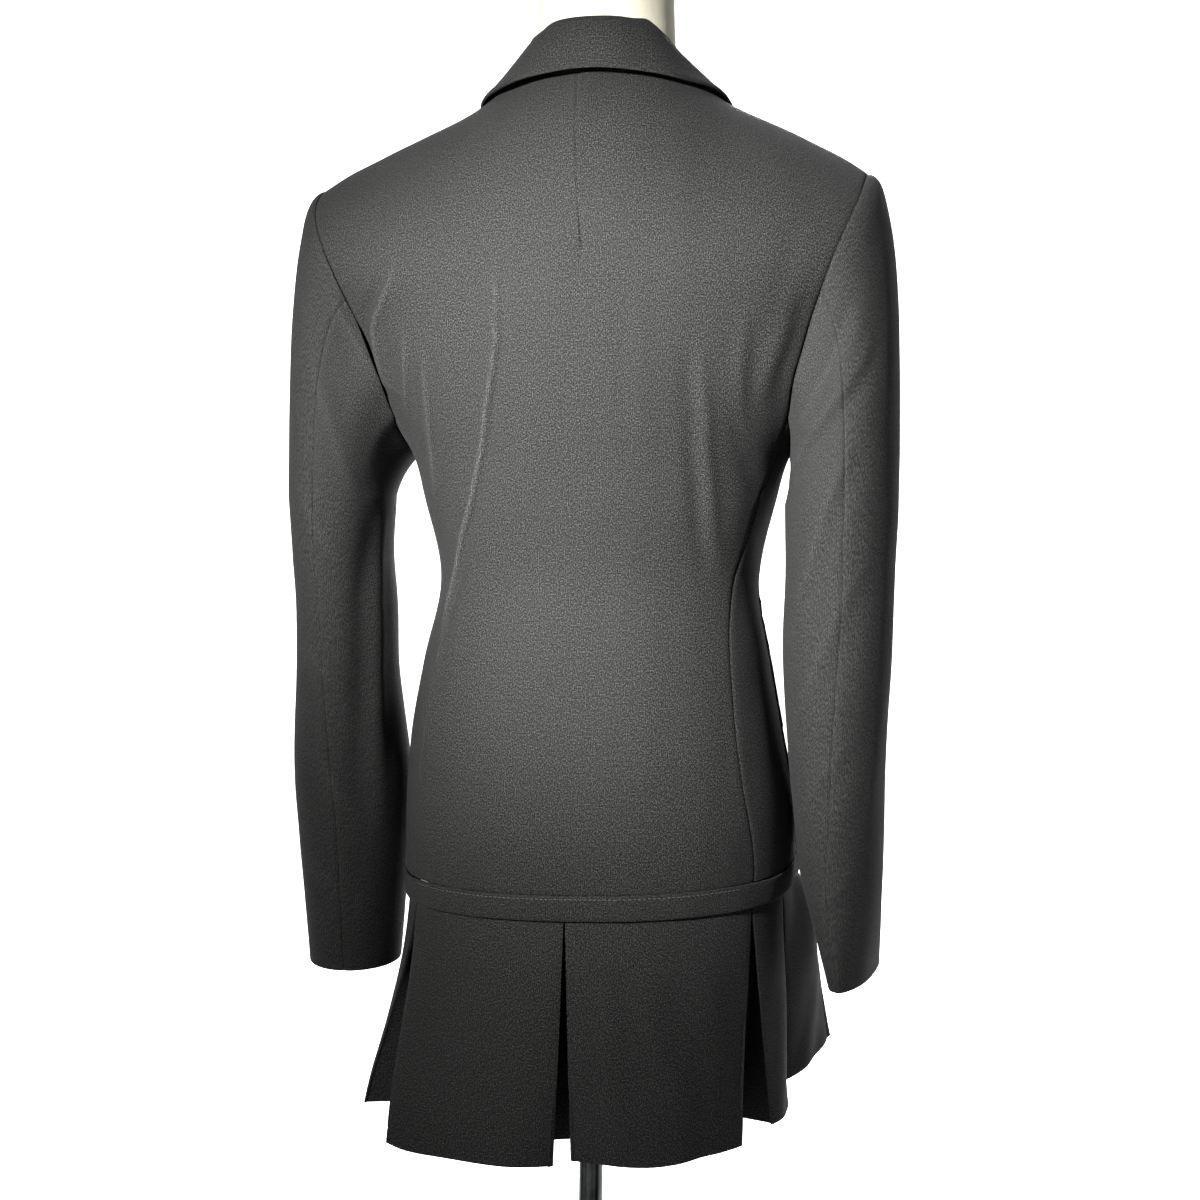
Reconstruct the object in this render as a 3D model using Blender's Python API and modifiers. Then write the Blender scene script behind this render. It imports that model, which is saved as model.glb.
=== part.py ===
"""A fitted jacket with a pleated skirt part, buttoned on a limbless dress form.

Metres, +Z up, the stand's foot on the floor at the origin, the jacket's front
towards -Y. "x" in a table is measured outwards from the middle of the body, "side" is
+1 for the wearer's left and -1 for the right, "face" is +1 for back and -1 for front.
"""
import math
from collections import namedtuple

import bmesh
import bpy
import numpy as np

# Driving sizes
CLOTH = 0.0016            # wall of the body, sleeves and collar
PLEAT_CLOTH = 0.0012      # wall of the pleated part
SEAM = 0.0003             # space left between two pieces
RIDGE_SEAM = 0.00025      # half the space along the shoulder and side seams
HEM_HEIGHT = 0.660
BAND_BOTTOM = 0.826
BAND_HEIGHT = 0.019
UNDERARM_HEIGHT = 1.155
TIP_HEIGHT = 1.355        # shoulder tip, where the sleeve starts
TIP_X = 0.204
NECK_X = 0.068            # where the shoulder seam meets the neck
NECK_BACK = 0.060         # how far the back neck lies behind the shoulder seam
ROUNDNESS = 2.3           # 2 is an ellipse, more is squarer
SHOULDER_TILT = 0.017     # the wearer's right shoulder sits higher by this slope
SHOULDER_SHIFT = 0.009    # both shoulder tips sit this far to the wearer's left
SIDE_BACK_TOP = 1.180     # where the side back seam runs into the armhole
LAP = 0.018               # how far each front passes the middle
LAP_LIFT = 0.0052         # the right front lies over the left by this much
SKIRT_LAP_LIFT = 0.0062   # and so does the pleated part, over the left band
LAP_FULL = 0.032          # it stays fully lifted this far out
LAP_FADE = 0.066          # and is back on the body this far out
BREAK_HEIGHT = 1.190      # where the lapel starts to roll
LEFT_BREAK_HEIGHT = 1.246
LAPEL_LIFT = 0.0026
LAPEL_TOP = 1.352
LAPEL_GORGE = 1.368
LAPEL_WIDTH = 0.064
ROLL_WIDTH = 0.0020
COLLAR_SKEW = 0.0026       # the collar's roll stands higher on the wearer's right by this
COLLAR_LIFT = 0.0026
SLEEVE_RING_HEIGHT = 1.120
CAP_DROP = 0.010          # how soon the sleeve head turns down past the shoulder tip
HIND_SEAM = 84.0          # degrees round the sleeve from its outer side, backwards
FORE_SEAM = 250.0
PLEAT_LAYER = 0.0023      # from one layer of a pleat to the next
PLEAT_INSET = 0.0034      # the pleated part hangs this far inside the band
PLEAT_PARTING = 0.0009    # half the space between the two folds of a pleat
SKIRT_TOP = 0.835
HIP_SHIFT = (0.0015, 0.0065)  # the hip's right and left side sit this far to the right
HIP_TILT = 0.045          # and the band climbs to the right by this slope
HIP_SWING = 0.011         # the right front swings out this much more beside the pleat
HIP_TOP = 0.970           # the hips hang even above this height
BAND_LIFT = 0.0016        # the band stands proud of the body
BUTTON_RADIUS = 0.010
FORM_BOTTOM = 0.745
FORM_DROP = 0.0032        # the form lies this far under the shoulder line
POLE_RADIUS = 0.0095
BASE_RADIUS = 0.170
BASE_HEIGHT = 0.016
HUB_RADIUS = 0.022
HUB_HEIGHT = 0.050

CHARCOAL = (0.022, 0.022, 0.025)
LINEN = (0.62, 0.56, 0.47)
CHROME = (0.62, 0.63, 0.65)
HORN = (0.012, 0.012, 0.013)


class Table:
    """Rows of sizes under named columns, read as smooth curves along the first one."""

    def __init__(self, names, rows):
        self.names = names.split()
        self.rows = np.array(sorted(rows))

    def __call__(self, name, at):
        xs = self.rows[:, 0]
        ys = self.rows[:, self.names.index(name)]
        slopes = np.gradient(ys, xs)
        k = np.clip(np.searchsorted(xs, at) - 1, 0, len(xs) - 2)
        span = xs[k + 1] - xs[k]
        t = np.clip((at - xs[k]) / span, 0.0, 1.0)
        near = (2 * t**3 - 3 * t**2 + 1) * ys[k] + (t**3 - 2 * t**2 + t) * span * slopes[k]
        far = (3 * t**2 - 2 * t**3) * ys[k + 1] + (t**3 - t**2) * span * slopes[k + 1]
        return near + far


# The body as level sections. Above the underarm, half_width is where the section
# would end if it ran on under the sleeve.
BODY = Table("height half_width back front", [
    (0.800, 0.1510, 0.121, 0.113),
    (0.826, 0.1510, 0.121, 0.113),
    (0.890, 0.1500, 0.122, 0.113),
    (0.937, 0.1435, 0.117, 0.109),
    (0.998, 0.1320, 0.103, 0.104),
    (1.059, 0.1215, 0.090, 0.102),
    (1.120, 0.1325, 0.096, 0.113),
    (1.155, 0.1430, 0.101, 0.122),
    (1.180, 0.1600, 0.105, 0.127),
    (1.210, 0.1830, 0.109, 0.128),
    (1.255, 0.2080, 0.112, 0.122),
    (1.300, 0.2590, 0.110, 0.113),
    (1.360, 0.2900, 0.104, 0.104),
    (1.460, 0.3000, 0.100, 0.095),
])

# Outer edge of the back panel: the side back seam, then the armhole.
BACK_EDGE = Table("height x", [
    (0.826, 0.1270), (0.853, 0.1290), (0.874, 0.1275), (0.902, 0.1230), (0.937, 0.1175),
    (0.978, 0.1120), (1.039, 0.1066), (1.064, 0.1080), (1.091, 0.1155), (1.120, 0.1235),
    (1.150, 0.1340), (1.180, 0.1450), (1.210, 0.1515), (1.230, 0.1580), (1.250, 0.1645),
    (1.270, 0.1725), (1.294, 0.1825), (1.311, 0.1900), (1.333, 0.1990), (1.355, 0.2040),
])

# Front armhole.
FRONT_ARMHOLE = Table("height x", [
    (1.155, 0.1430), (1.163, 0.1410), (1.180, 0.1395), (1.210, 0.1415), (1.255, 0.1540),
    (1.300, 0.1750), (1.330, 0.1920), (1.355, 0.2040),
])

# The shoulder line from the neck out, and the height over which the body rounds
# over it.
SHOULDER = Table("x height rounding", [
    (0.000, 1.458, 0.150),
    (0.035, 1.449, 0.148),
    (0.068, 1.428, 0.142),
    (0.090, 1.412, 0.137),
    (0.130, 1.393, 0.126),
    (0.160, 1.379, 0.117),
    (0.190, 1.364, 0.107),
    (0.204, 1.355, 0.100),
])

# Sleeve sections: middle, half width across the body, half depth and twist in degrees.
SLEEVE_COLUMNS = "height x y across along twist"
SLEEVES = {
    +1: Table(SLEEVE_COLUMNS, [
        (0.739, 0.2070, -0.0400, 0.0350, 0.0410, 0.0),
        (0.800, 0.2035, -0.0290, 0.0395, 0.0440, 0.0),
        (0.854, 0.2005, -0.0180, 0.0430, 0.0470, 0.0),
        (0.901, 0.1983, -0.0075, 0.0442, 0.0490, 0.0),
        (0.940, 0.1968, 0.0030, 0.0410, 0.0510, 0.0),
        (0.979, 0.1953, 0.0125, 0.0368, 0.0520, 0.0),
        (1.041, 0.1937, 0.0205, 0.0351, 0.0535, 0.0),
        (1.074, 0.1955, 0.0230, 0.0345, 0.0550, 0.0),
        (1.120, 0.1955, 0.0240, 0.0368, 0.0570, 0.0),
        (1.150, 0.1955, 0.0240, 0.0378, 0.0575, 0.0),
    ]),
    -1: Table(SLEEVE_COLUMNS, [
        (0.762, 0.2000, -0.0150, 0.0135, 0.0548, 11.2),
        (0.800, 0.1950, -0.0090, 0.0210, 0.0540, 10.0),
        (0.850, 0.1885, 0.0000, 0.0290, 0.0530, 7.5),
        (0.901, 0.1855, 0.0080, 0.0325, 0.0530, 4.0),
        (0.948, 0.1833, 0.0140, 0.0350, 0.0530, 2.0),
        (1.010, 0.1825, 0.0200, 0.0383, 0.0535, 0.0),
        (1.074, 0.1828, 0.0230, 0.0382, 0.0550, 0.0),
        (1.120, 0.1828, 0.0240, 0.0393, 0.0570, 0.0),
        (1.150, 0.1830, 0.0240, 0.0395, 0.0575, 0.0),
    ]),
}

# Pleated part, a row for each panel from the middle back round to the middle front:
# angle at the band where it starts and ends (0 at the back, 90 at the side), the hem's
# two corners (x, y, height above the plain hem), and how far its middle bows out.
Panel = namedtuple("Panel", "start end hem_start hem_end bow")
PANELS = {
    +1: (
        Panel(0.0, 57.0, (-0.001, 0.154, 0.000), (0.126, 0.1335, 0.000), 0.003),
        Panel(57.0, 79.0, (0.161, 0.075, 0.002), (0.158, 0.018, 0.000), 0.003),
        Panel(79.0, 125.0, (0.156, -0.022, 0.000), (0.160, -0.090, 0.000), 0.004),
        Panel(125.0, 180.0, (0.139, -0.118, 0.000), (-0.139, -0.118, 0.000), -0.0275),
    ),
    -1: (
        Panel(0.0, 57.0, (0.012, 0.142, 0.000), (0.126, 0.0885, 0.000), 0.006),
        Panel(57.0, 79.0, (0.145, 0.050, 0.002), (0.152, -0.006, 0.000), 0.003),
        Panel(79.0, 125.0, (0.1475, -0.053, 0.000), (0.176, -0.130, 0.010), 0.002),
        Panel(125.0, 180.0, (0.146, -0.140, 0.002), (-0.146, -0.140, 0.002), -0.0480),
    ),
}

# Inverted pleats: angle at the band, how far the cloth is tucked under the panel
# before and after it, and how deep it opens at the hem.
Pleat = namedtuple("Pleat", "angle before after depth")
PLEATS = (
    Pleat(0.0, 0.040, 0.040, 0.038),
    Pleat(57.0, 0.040, 0.019, 0.036),
    Pleat(79.0, 0.019, 0.036, 0.030),
    Pleat(125.0, 0.036, 0.036, 0.034),
)

# Collar, a row for each station from the middle back to its front end: seam at the
# neck, top of the roll, and outer edge, each as x, y, z.
Station = namedtuple("Station", "share seam roll edge")
COLLAR = (
    Station(0.00, (0.0000, 0.0605, 1.4310), (0.0000, 0.0650, 1.4620), (0.0000, 0.0740, 1.4248)),
    Station(0.18, (0.0290, 0.0545, 1.4320), (0.0270, 0.0590, 1.4608), (0.0350, 0.0700, 1.4223)),
    Station(0.36, (0.0540, 0.0370, 1.4330), (0.0450, 0.0385, 1.4560), (0.0680, 0.0510, 1.4182)),
    Station(0.50, (0.0675, 0.0060, 1.4325), (0.0560, 0.0060, 1.4445), (0.0915, 0.0100, 1.4158)),
    Station(0.66, (0.0645, -0.0450, 1.4180), (0.0565, -0.0430, 1.4310), (0.0985, -0.0400, 1.4000)),
    Station(0.82, (0.0605, -0.0730, 1.3950), (0.0560, -0.0760, 1.4080), (0.0985, -0.0660, 1.3830)),
    Station(1.00, (0.0575, -0.0885, 1.3765), (0.0555, -0.0900, 1.3810), (0.0910, -0.0830, 1.3670)),
)

# Dress form sections below the shoulders: half width and what its depth is short of
# the jacket's.
FORM = Table("height half_width short", [
    (0.745, 0.1000, 0.034),
    (0.752, 0.1080, 0.028),
    (0.790, 0.1270, 0.015),
    (0.850, 0.1380, 0.010),
    (0.937, 0.1320, 0.009),
    (1.059, 0.1120, 0.008),
    (1.120, 0.1230, 0.006),
    (1.180, 0.1340, 0.004),
    (1.255, 0.1480, 0.003),
    (1.310, 0.1660, 0.0025),
    (1.345, 0.1740, 0.0022),
    (1.460, 0.1800, 0.0021),
])
# Its neck: half width, back, front and squareness of each section.
FORM_NECK = Table("height half_width back front round", [
    (1.400, 0.1050, 0.0730, 0.0690, 1.60),
    (1.413, 0.0810, 0.0635, 0.0640, 1.70),
    (1.426, 0.0615, 0.0540, 0.0590, 1.85),
    (1.440, 0.0535, 0.0500, 0.0560, 2.00),
    (1.460, 0.0515, 0.0490, 0.0550, 2.00),
    (1.535, 0.0500, 0.0470, 0.0560, 2.00),
])


# ---------------------------------------------------------------- body surface

def over_shoulder(x, z):
    """Share of the full depth: 0 on the shoulder line, 1 below its rounding."""
    x = np.abs(x)
    fall = np.clip((SHOULDER("height", x) - z) / SHOULDER("rounding", x), 0.0, 1.0)
    return np.sqrt(1.0 - (1.0 - fall) ** 2)


def depth(face, x, z):
    """How far the body's surface lies behind (or before) the side seams."""
    share = np.clip(np.abs(x) / BODY("half_width", z), 0.0, 1.0)
    full = BODY("back" if face > 0 else "front", z)
    return full * (1.0 - share ** ROUNDNESS) ** (1.0 / ROUNDNESS) * over_shoulder(x, z)


def angle_of(x, z):
    """Angle round the section, from the middle, that lies at x."""
    share = np.clip(np.abs(x) / BODY("half_width", z), 0.0, 1.0)
    return np.sign(x) * np.arcsin(share ** (ROUNDNESS / 2))


def x_of(angle, z):
    """x of an angle round the section."""
    return BODY("half_width", z) * np.sign(angle) * np.abs(np.sin(angle)) ** (2 / ROUNDNESS)


def shifted(angle, z, face, distance):
    """The angle moved by a distance along the section."""
    small = 1e-3
    ends = [angle - small, angle + small]
    xs = [x_of(end, z) for end in ends]
    ys = [depth(face, x, z) for x in xs]
    length = np.hypot(xs[1] - xs[0], ys[1] - ys[0])
    return angle + distance * 2 * small / np.maximum(length, 1e-6)


def placed(side, face, x, z, lift=0.0):
    """Points on the body at x and z, lifted off it along its outward direction."""
    step = 1e-4
    y = depth(face, x, z)
    slope_x = (depth(face, x + step, z) - depth(face, x - step, z)) / (2 * step)
    slope_z = (depth(face, x, z + step) - depth(face, x, z - step)) / (2 * step)
    length = np.sqrt(1.0 + slope_x ** 2 + slope_z ** 2)
    out_x = x - slope_x / length * lift
    out_y = y + lift / length
    out_z = z - slope_z / length * lift
    return leaned(tilted(side * out_x, face * (out_y + RIDGE_SEAM), out_z))


def eased(share):
    """A share from 0 to 1 that starts and ends gently."""
    share = np.clip(share, 0.0, 1.0)
    return share * share * (3 - 2 * share)


def leaned(points):
    """The hips: moved and raised to the wearer's right, dying out at waist and hem."""
    x = points[..., 0]
    y = points[..., 1]
    z = points[..., 2]
    part = eased((HIP_TOP - z) / (HIP_TOP - BAND_BOTTOM - BAND_HEIGHT - 0.012))
    part = part * eased((z - HEM_HEIGHT) / (BAND_BOTTOM - 0.02 - HEM_HEIGHT))
    swing = np.clip(-x / 0.135, 0.0, 1.0) ** 2 * eased((-0.01 - y) / 0.05)
    shift = np.where(x < 0, *HIP_SHIFT)
    move = shift * np.minimum((x / 0.15) ** 2, 1.2) + HIP_SWING * swing
    return np.stack((x - part * move, y, z - part * HIP_TILT * x), axis=-1)


def tilted(x, y, z):
    """World points, with the right shoulder a little higher than the left."""
    rise = np.clip((z - 1.1) / 0.25, 0.0, 1.0)
    rise = rise * rise * (3 - 2 * rise)
    shift = SHOULDER_SHIFT * rise * np.clip(np.abs(x) / TIP_X, 0.0, 1.0) ** 2
    return np.stack(np.broadcast_arrays(x + shift, y, z - SHOULDER_TILT * x * rise), axis=-1)


# ---------------------------------------------------------------- cut pieces

def neckline_height(x):
    """Height of the back neck at x, where it is cut off below the shoulder line."""
    neck_y = NECK_BACK * np.sqrt(np.clip(1.0 - (x / NECK_X) ** 2, 0.0, 1.0))
    ridge = SHOULDER("height", np.abs(x))
    full = depth(1, np.minimum(np.abs(x), NECK_X), ridge - SHOULDER("rounding", np.abs(x)))
    drop = 1.0 - np.sqrt(1.0 - np.clip(neck_y / full, 0, 1) ** 2)
    return ridge - SHOULDER("rounding", np.abs(x)) * drop


def column_height(x_top, level, bottom, top):
    """Height on a column: levels 0 to 1 climb to the rounding, 1 to 2 go over it."""
    start = SHOULDER("height", x_top) - SHOULDER("rounding", x_top)
    turn = np.sqrt(np.clip(1 - (1 - (SHOULDER("height", x_top) - top)
                                / SHOULDER("rounding", x_top)) ** 2, 0, 1))
    end = np.arcsin(turn)
    swing = np.pi / 2 - (np.clip(level, 1, 2) - 1) * (np.pi / 2 - end)
    over = SHOULDER("height", x_top) - SHOULDER("rounding", x_top) * (1 - np.cos(swing))
    below = bottom + (start - bottom) * level
    return np.where(level <= 1.0, below, over)


def back_points(fraction, level, lift=0.0):
    """The back panel: fraction -1 (right) to 1 (left), level 0 (band) to 2 (neck)."""
    side = np.where(fraction < 0, -1.0, 1.0)
    share = np.abs(fraction)
    tip_angle = angle_of(TIP_X, TIP_HEIGHT)
    x_top = x_of(share * tip_angle, TIP_HEIGHT)
    bottom = BAND_BOTTOM + BAND_HEIGHT
    edge = column_height(TIP_X, level, bottom, TIP_HEIGHT)
    z = column_height(x_top, level, bottom, neckline_height(x_top))
    limit = angle_of(BACK_EDGE("x", edge), edge)
    limit = shifted(limit, edge, 1, -SEAM * 0.75 * (edge < SIDE_BACK_TOP + 0.001))
    x = x_of(share * limit, edge)
    return placed(side, 1, x, z, lift)


def side_back_points(side, fraction, level, lift=0.0):
    """Side back panel: fraction 0 (side back seam) to 1 (side seam), level 0 to 1."""
    bottom = BAND_BOTTOM + BAND_HEIGHT
    top = UNDERARM_HEIGHT + (SIDE_BACK_TOP - UNDERARM_HEIGHT) * (1 - fraction) ** 2
    z = bottom + (top - bottom) * level
    inner = shifted(angle_of(BACK_EDGE("x", z), z), z, 1, SEAM * 0.75)
    x = x_of(inner + (np.pi / 2 - inner) * fraction, z)
    return placed(side, 1, x, z, lift)


def front_edge(z):
    """x of the front's inner edge: straight below the break, then the roll line."""
    climb = np.clip((z - BREAK_HEIGHT) / (SHOULDER("height", NECK_X) - BREAK_HEIGHT), 0, 1)
    return -LAP + (NECK_X + LAP) * climb ** 0.85


def front_points(side, fraction, level, lift=0.0):
    """A front: fraction 0 (middle, roll line) to 1 (side seam, armhole)."""
    tip_angle = angle_of(TIP_X, TIP_HEIGHT)
    neck_angle = angle_of(NECK_X, TIP_HEIGHT)
    x_top = x_of(neck_angle + (tip_angle - neck_angle) * fraction, TIP_HEIGHT)
    bottom = BAND_BOTTOM + BAND_HEIGHT
    inner_z = column_height(NECK_X, level, bottom, SHOULDER("height", NECK_X))
    outer_z = column_height(TIP_X, level, bottom, TIP_HEIGHT)
    z = column_height(x_top, level, bottom, SHOULDER("height", x_top))
    inner = angle_of(front_edge(inner_z), outer_z)
    armhole = angle_of(FRONT_ARMHOLE("x", outer_z), outer_z)
    outer = np.where(outer_z > UNDERARM_HEIGHT, armhole, np.pi / 2)
    x = x_of(inner + (outer - inner) * fraction, outer_z)
    return placed(side, -1, x, z, lift + lap_lift(side, x))


def lap_lift(side, x, lift=LAP_LIFT):
    """The right front rides over the left near the middle."""
    if side > 0:
        return 0.0 * x
    fade = np.clip((LAP_FADE - x) / (LAP_FADE - LAP_FULL), 0.0, 1.0)
    return lift * fade * fade * (3 - 2 * fade)


def turn_of(face, z):
    """Turn round the armhole, 0 at the tip and 180 under the arm, at a height."""
    share = 2 * (np.asarray(z) - UNDERARM_HEIGHT) / (TIP_HEIGHT - UNDERARM_HEIGHT) - 1
    turn = np.degrees(np.arccos(np.clip(share, -1, 1)))
    return turn if face > 0 else 360.0 - turn


def armhole_points(side, turn):
    """The armhole: turn 0 at the shoulder tip, 90 at the back, 180 under the arm."""
    turn = np.mod(turn, 360.0)
    back = turn <= 180.0
    run = np.where(back, turn, 360.0 - turn)
    z = UNDERARM_HEIGHT + (TIP_HEIGHT - UNDERARM_HEIGHT) * (1 + np.cos(np.radians(run))) / 2
    low = np.clip((z - UNDERARM_HEIGHT) / (SIDE_BACK_TOP - UNDERARM_HEIGHT), 0.0, 1.0)
    across = 1.0 - np.sqrt(low)
    seam = angle_of(BACK_EDGE("x", z), z)
    back_angle = seam + (np.pi / 2 - seam) * across
    front_angle = angle_of(np.minimum(FRONT_ARMHOLE("x", z), BODY("half_width", z)), z)
    angle = np.where(back, back_angle, front_angle)
    x = x_of(angle, z)
    y = np.where(back, depth(1, x, z) + RIDGE_SEAM, -depth(-1, x, z) - RIDGE_SEAM)
    return tilted(side * x, y, z)


def sleeve_section(side, turn, z):
    """A level section of the sleeve: turn 0 at its outer side, 90 at its back."""
    table = SLEEVES[side]
    t = np.radians(turn)
    across = (table("across", z) + CLOTH) * np.cos(t)
    along = (table("along", z) + CLOTH) * np.sin(t)
    twist = np.radians(table("twist", z))
    x = table("x", z) + across * np.cos(twist) - along * np.sin(twist)
    y = table("y", z) + across * np.sin(twist) + along * np.cos(twist)
    return tilted(side * x, y, z)


def sleeve_points(side, turn, level):
    """Sleeve: level 0 at the armhole, 1 at the first section, 2 at the cuff."""
    start = armhole_points(side, turn)
    ring = sleeve_section(side, turn, SLEEVE_RING_HEIGHT)
    upness = (0.5 + 0.5 * np.cos(np.radians(turn)))[..., None]
    bend = ring.copy()
    rise = (start[..., 2:] - CAP_DROP - ring[..., 2:]) * (0.85 + 0.15 * upness)
    bend[..., 2:] = ring[..., 2:] + rise
    under = np.clip(-np.cos(np.radians(turn)), 0.0, 1.0)
    bend[..., 0] = side * np.maximum(side * bend[..., 0], side * start[..., 0] + 0.004 * under)
    bend[..., 1] += (start[..., 1] - bend[..., 1]) * 0.6 * under
    lead = unit(bend - start)
    away = unit(start * (1.0, 1.6, 0.0))
    room = SEAM * (3.6 + 3.4 * np.clip(0.25 - np.sin(np.radians(turn)), 0, 1))[..., None]
    start = start + unit(lead * upness + away * (1 - upness)) * room
    t = np.clip(level, 0, 1)[..., None]
    cap = (1 - t) ** 2 * start + 2 * t * (1 - t) * bend + t ** 2 * ring
    cuff = SLEEVES[side].rows[0, 0]
    z = SLEEVE_RING_HEIGHT + (cuff - SLEEVE_RING_HEIGHT) * np.clip(level - 1, 0, 1)
    tube = sleeve_section(side, turn, z)
    return np.where((level <= 1.0)[..., None], cap, tube)


def seam_gap(side, turn, level):
    """Degrees of turn that leave half a seam's space at the sleeve's wall."""
    z = SLEEVE_RING_HEIGHT + (SLEEVES[side].rows[0, 0] - SLEEVE_RING_HEIGHT) * (level - 1)
    t = np.radians(turn)
    across = SLEEVES[side]("across", z) * np.sin(t)
    along = SLEEVES[side]("along", z) * np.cos(t)
    speed = np.hypot(across, along)
    sharp = SLEEVES[side]("along", z) / SLEEVES[side]("across", z)
    return np.degrees(SEAM * (1.2 + 0.5 * sharp) / speed)


def seam_turn(level):
    """The hind seam moves round to the back of the arm towards the cuff."""
    return HIND_SEAM + 12.0 * np.clip(level - 1.2, 0, 0.8) / 0.8


# ---------------------------------------------------------------- pleated part

def band_point(angle_deg, inset):
    """A point on the band's line, as x, y, with x signed like the angle."""
    angle = math.radians(angle_deg)
    face = 1 if abs(angle_deg) <= 90 else -1
    folded = angle if face > 0 else math.copysign(math.pi, angle) - angle
    x = float(x_of(folded, BAND_BOTTOM))
    y = face * float(depth(face, x, BAND_BOTTOM))
    nx, ny = band_normal(x, y, face)
    return np.array((x - nx * inset, y - ny * inset))


def band_normal(x, y, face):
    """Outward direction on the band's section."""
    half = float(BODY("half_width", BAND_BOTTOM))
    deep = float(BODY("back" if face > 0 else "front", BAND_BOTTOM))
    nx = math.copysign(abs(x / half) ** (ROUNDNESS - 1) / half, x)
    ny = math.copysign(abs(y / deep) ** (ROUNDNESS - 1) / deep, y)
    length = math.hypot(nx, ny)
    return nx / length, ny / length


def moved_round(angle_deg, distance):
    """The angle at the band that lies a distance further round."""
    step = 0.5
    ahead = band_point(angle_deg + step, 0.0)
    behind = band_point(angle_deg - step, 0.0)
    return angle_deg + distance * 2 * step / np.linalg.norm(ahead - behind)


def panel_run(side, panel, count):
    """A panel's points at the band and at the hem, from its start to its end."""
    start = panel.start
    end = panel.end
    a = np.array(panel.hem_start)
    b = np.array(panel.hem_end)
    reach = 1.0
    if end >= 180.0:
        end = 180.0 + math.degrees(LAP / float(BODY("half_width", BAND_BOTTOM)))
        reach = (a[0] + LAP) / (a[0] - b[0])
    else:
        end = moved_round(end, -PLEAT_PARTING)
    start = moved_round(start, PLEAT_PARTING)
    top = []
    hem = []
    for u in np.linspace(0, 1, count):
        angle = start + (end - start) * u
        lift = lap_lift(side, band_point(angle, 0.0)[0], SKIRT_LAP_LIFT) if angle > 90 else 0
        top.append(band_point(angle, PLEAT_INSET - lift))
        hem.append(hem_curve(a, b, u * reach, panel.bow))
    return top, hem


def hem_curve(a, b, u, bow):
    """The hem between two corners, bowed out as the panel rounds the body."""
    chord = b[:2] - a[:2]
    normal = np.array((-chord[1], chord[0])) / np.linalg.norm(chord)
    middle = (a[:2] + b[:2]) / 2
    if normal @ middle < 0:
        normal = -normal
    swell = np.linalg.norm(chord) ** 2 / (8 * 0.165) + bow
    point = a + (b - a) * u
    return np.array((*(point[:2] + normal * swell * 4 * u * (1 - u)), point[2]))


def pleat_run(pleat, fold_in, fold_out, steps):
    """An inverted pleat between two panels, at the band and at the hem."""
    angle = pleat.angle
    before = pleat.before
    after = pleat.after
    top = []
    hem = []
    a = fold_in[:2]
    b = fold_out[:2]
    middle = (a + b) / 2
    normal = np.array(band_normal(*band_point(angle, 0.0), 1 if angle <= 90 else -1))
    if angle > 90:
        normal = middle / np.linalg.norm(middle)
    along = np.array((normal[1], -normal[0]))
    corner_in = middle - normal * pleat.depth - along * before * 0.9
    corner_out = middle - normal * pleat.depth + along * after * 0.9
    rise = (fold_in[2] + fold_out[2]) / 2
    layers = [PLEAT_INSET + PLEAT_LAYER * k for k in (1, 2)]

    def add(turn, inset, point, lift):
        top.append(band_point(turn, inset))
        hem.append(np.array((*point, lift)))

    inner = unit(corner_in - a)
    for u in np.linspace(0, 1, steps):
        turn = moved_round(angle, -PLEAT_PARTING - (before - PLEAT_PARTING) * u)
        point = a - turned(inner) * PLEAT_LAYER * (1 - u) + (corner_in - a) * u
        add(turn, layers[0], point, fold_in[2] * (1 - u) + rise * u)
    spread = unit(corner_out - corner_in)
    for u in np.linspace(0, 1, steps + 1):
        turn = moved_round(angle, -before + (before + after) * u)
        shift = -normal * (PLEAT_LAYER + 0.004 * 4 * u * (1 - u))
        point = corner_in + spread * np.linalg.norm(corner_out - corner_in) * u + shift
        add(turn, layers[1], point, rise)
    outer = unit(b - corner_out)
    for u in np.linspace(0, 1, steps):
        turn = moved_round(angle, PLEAT_PARTING + (after - PLEAT_PARTING) * (1 - u))
        point = corner_out + (b - corner_out) * u - turned(outer) * PLEAT_LAYER * u
        add(turn, layers[0], point, rise * (1 - u) + fold_out[2] * u)
    return top, hem


def unit(vector):
    return vector / np.linalg.norm(vector, axis=-1, keepdims=True)


def turned(vector):
    """A quarter turn to the left."""
    return np.array((-vector[1], vector[0]))


def skirt_side(side, panel_count, pleat_steps):
    """Half of the pleated part, from the middle back to the front edge."""
    panels = PANELS[side]
    other = PANELS[-side]
    top = []
    hem = []
    mirrored = np.array(other[0].hem_start) * (-1, 1, 1)
    first_top, first_hem = pleat_run(PLEATS[0], mirrored, np.array(panels[0].hem_start), pleat_steps)
    half = pleat_steps + (pleat_steps + 1) // 2
    top += first_top[half:]
    hem += first_hem[half:]
    marks = []
    for k, panel in enumerate(panels):
        run_top, run_hem = panel_run(side, panel, panel_count)
        top += run_top
        hem += run_hem
        if k + 1 < len(panels):
            start = len(top) + pleat_steps + (pleat_steps + 1) // 2
            marks.append(start)
            fold_top, fold_hem = pleat_run(PLEATS[k + 1], np.array(panel.hem_end),
                                           np.array(panels[k + 1].hem_start), pleat_steps)
            top += fold_top
            hem += fold_hem
    return np.array(top), np.array(hem), marks


UNDER_BAND = 0.055        # share of the pleated part that stays straight behind the band
FLARE_EARLY = 0.40        # the right front's pleats swing out sooner below the band


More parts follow.
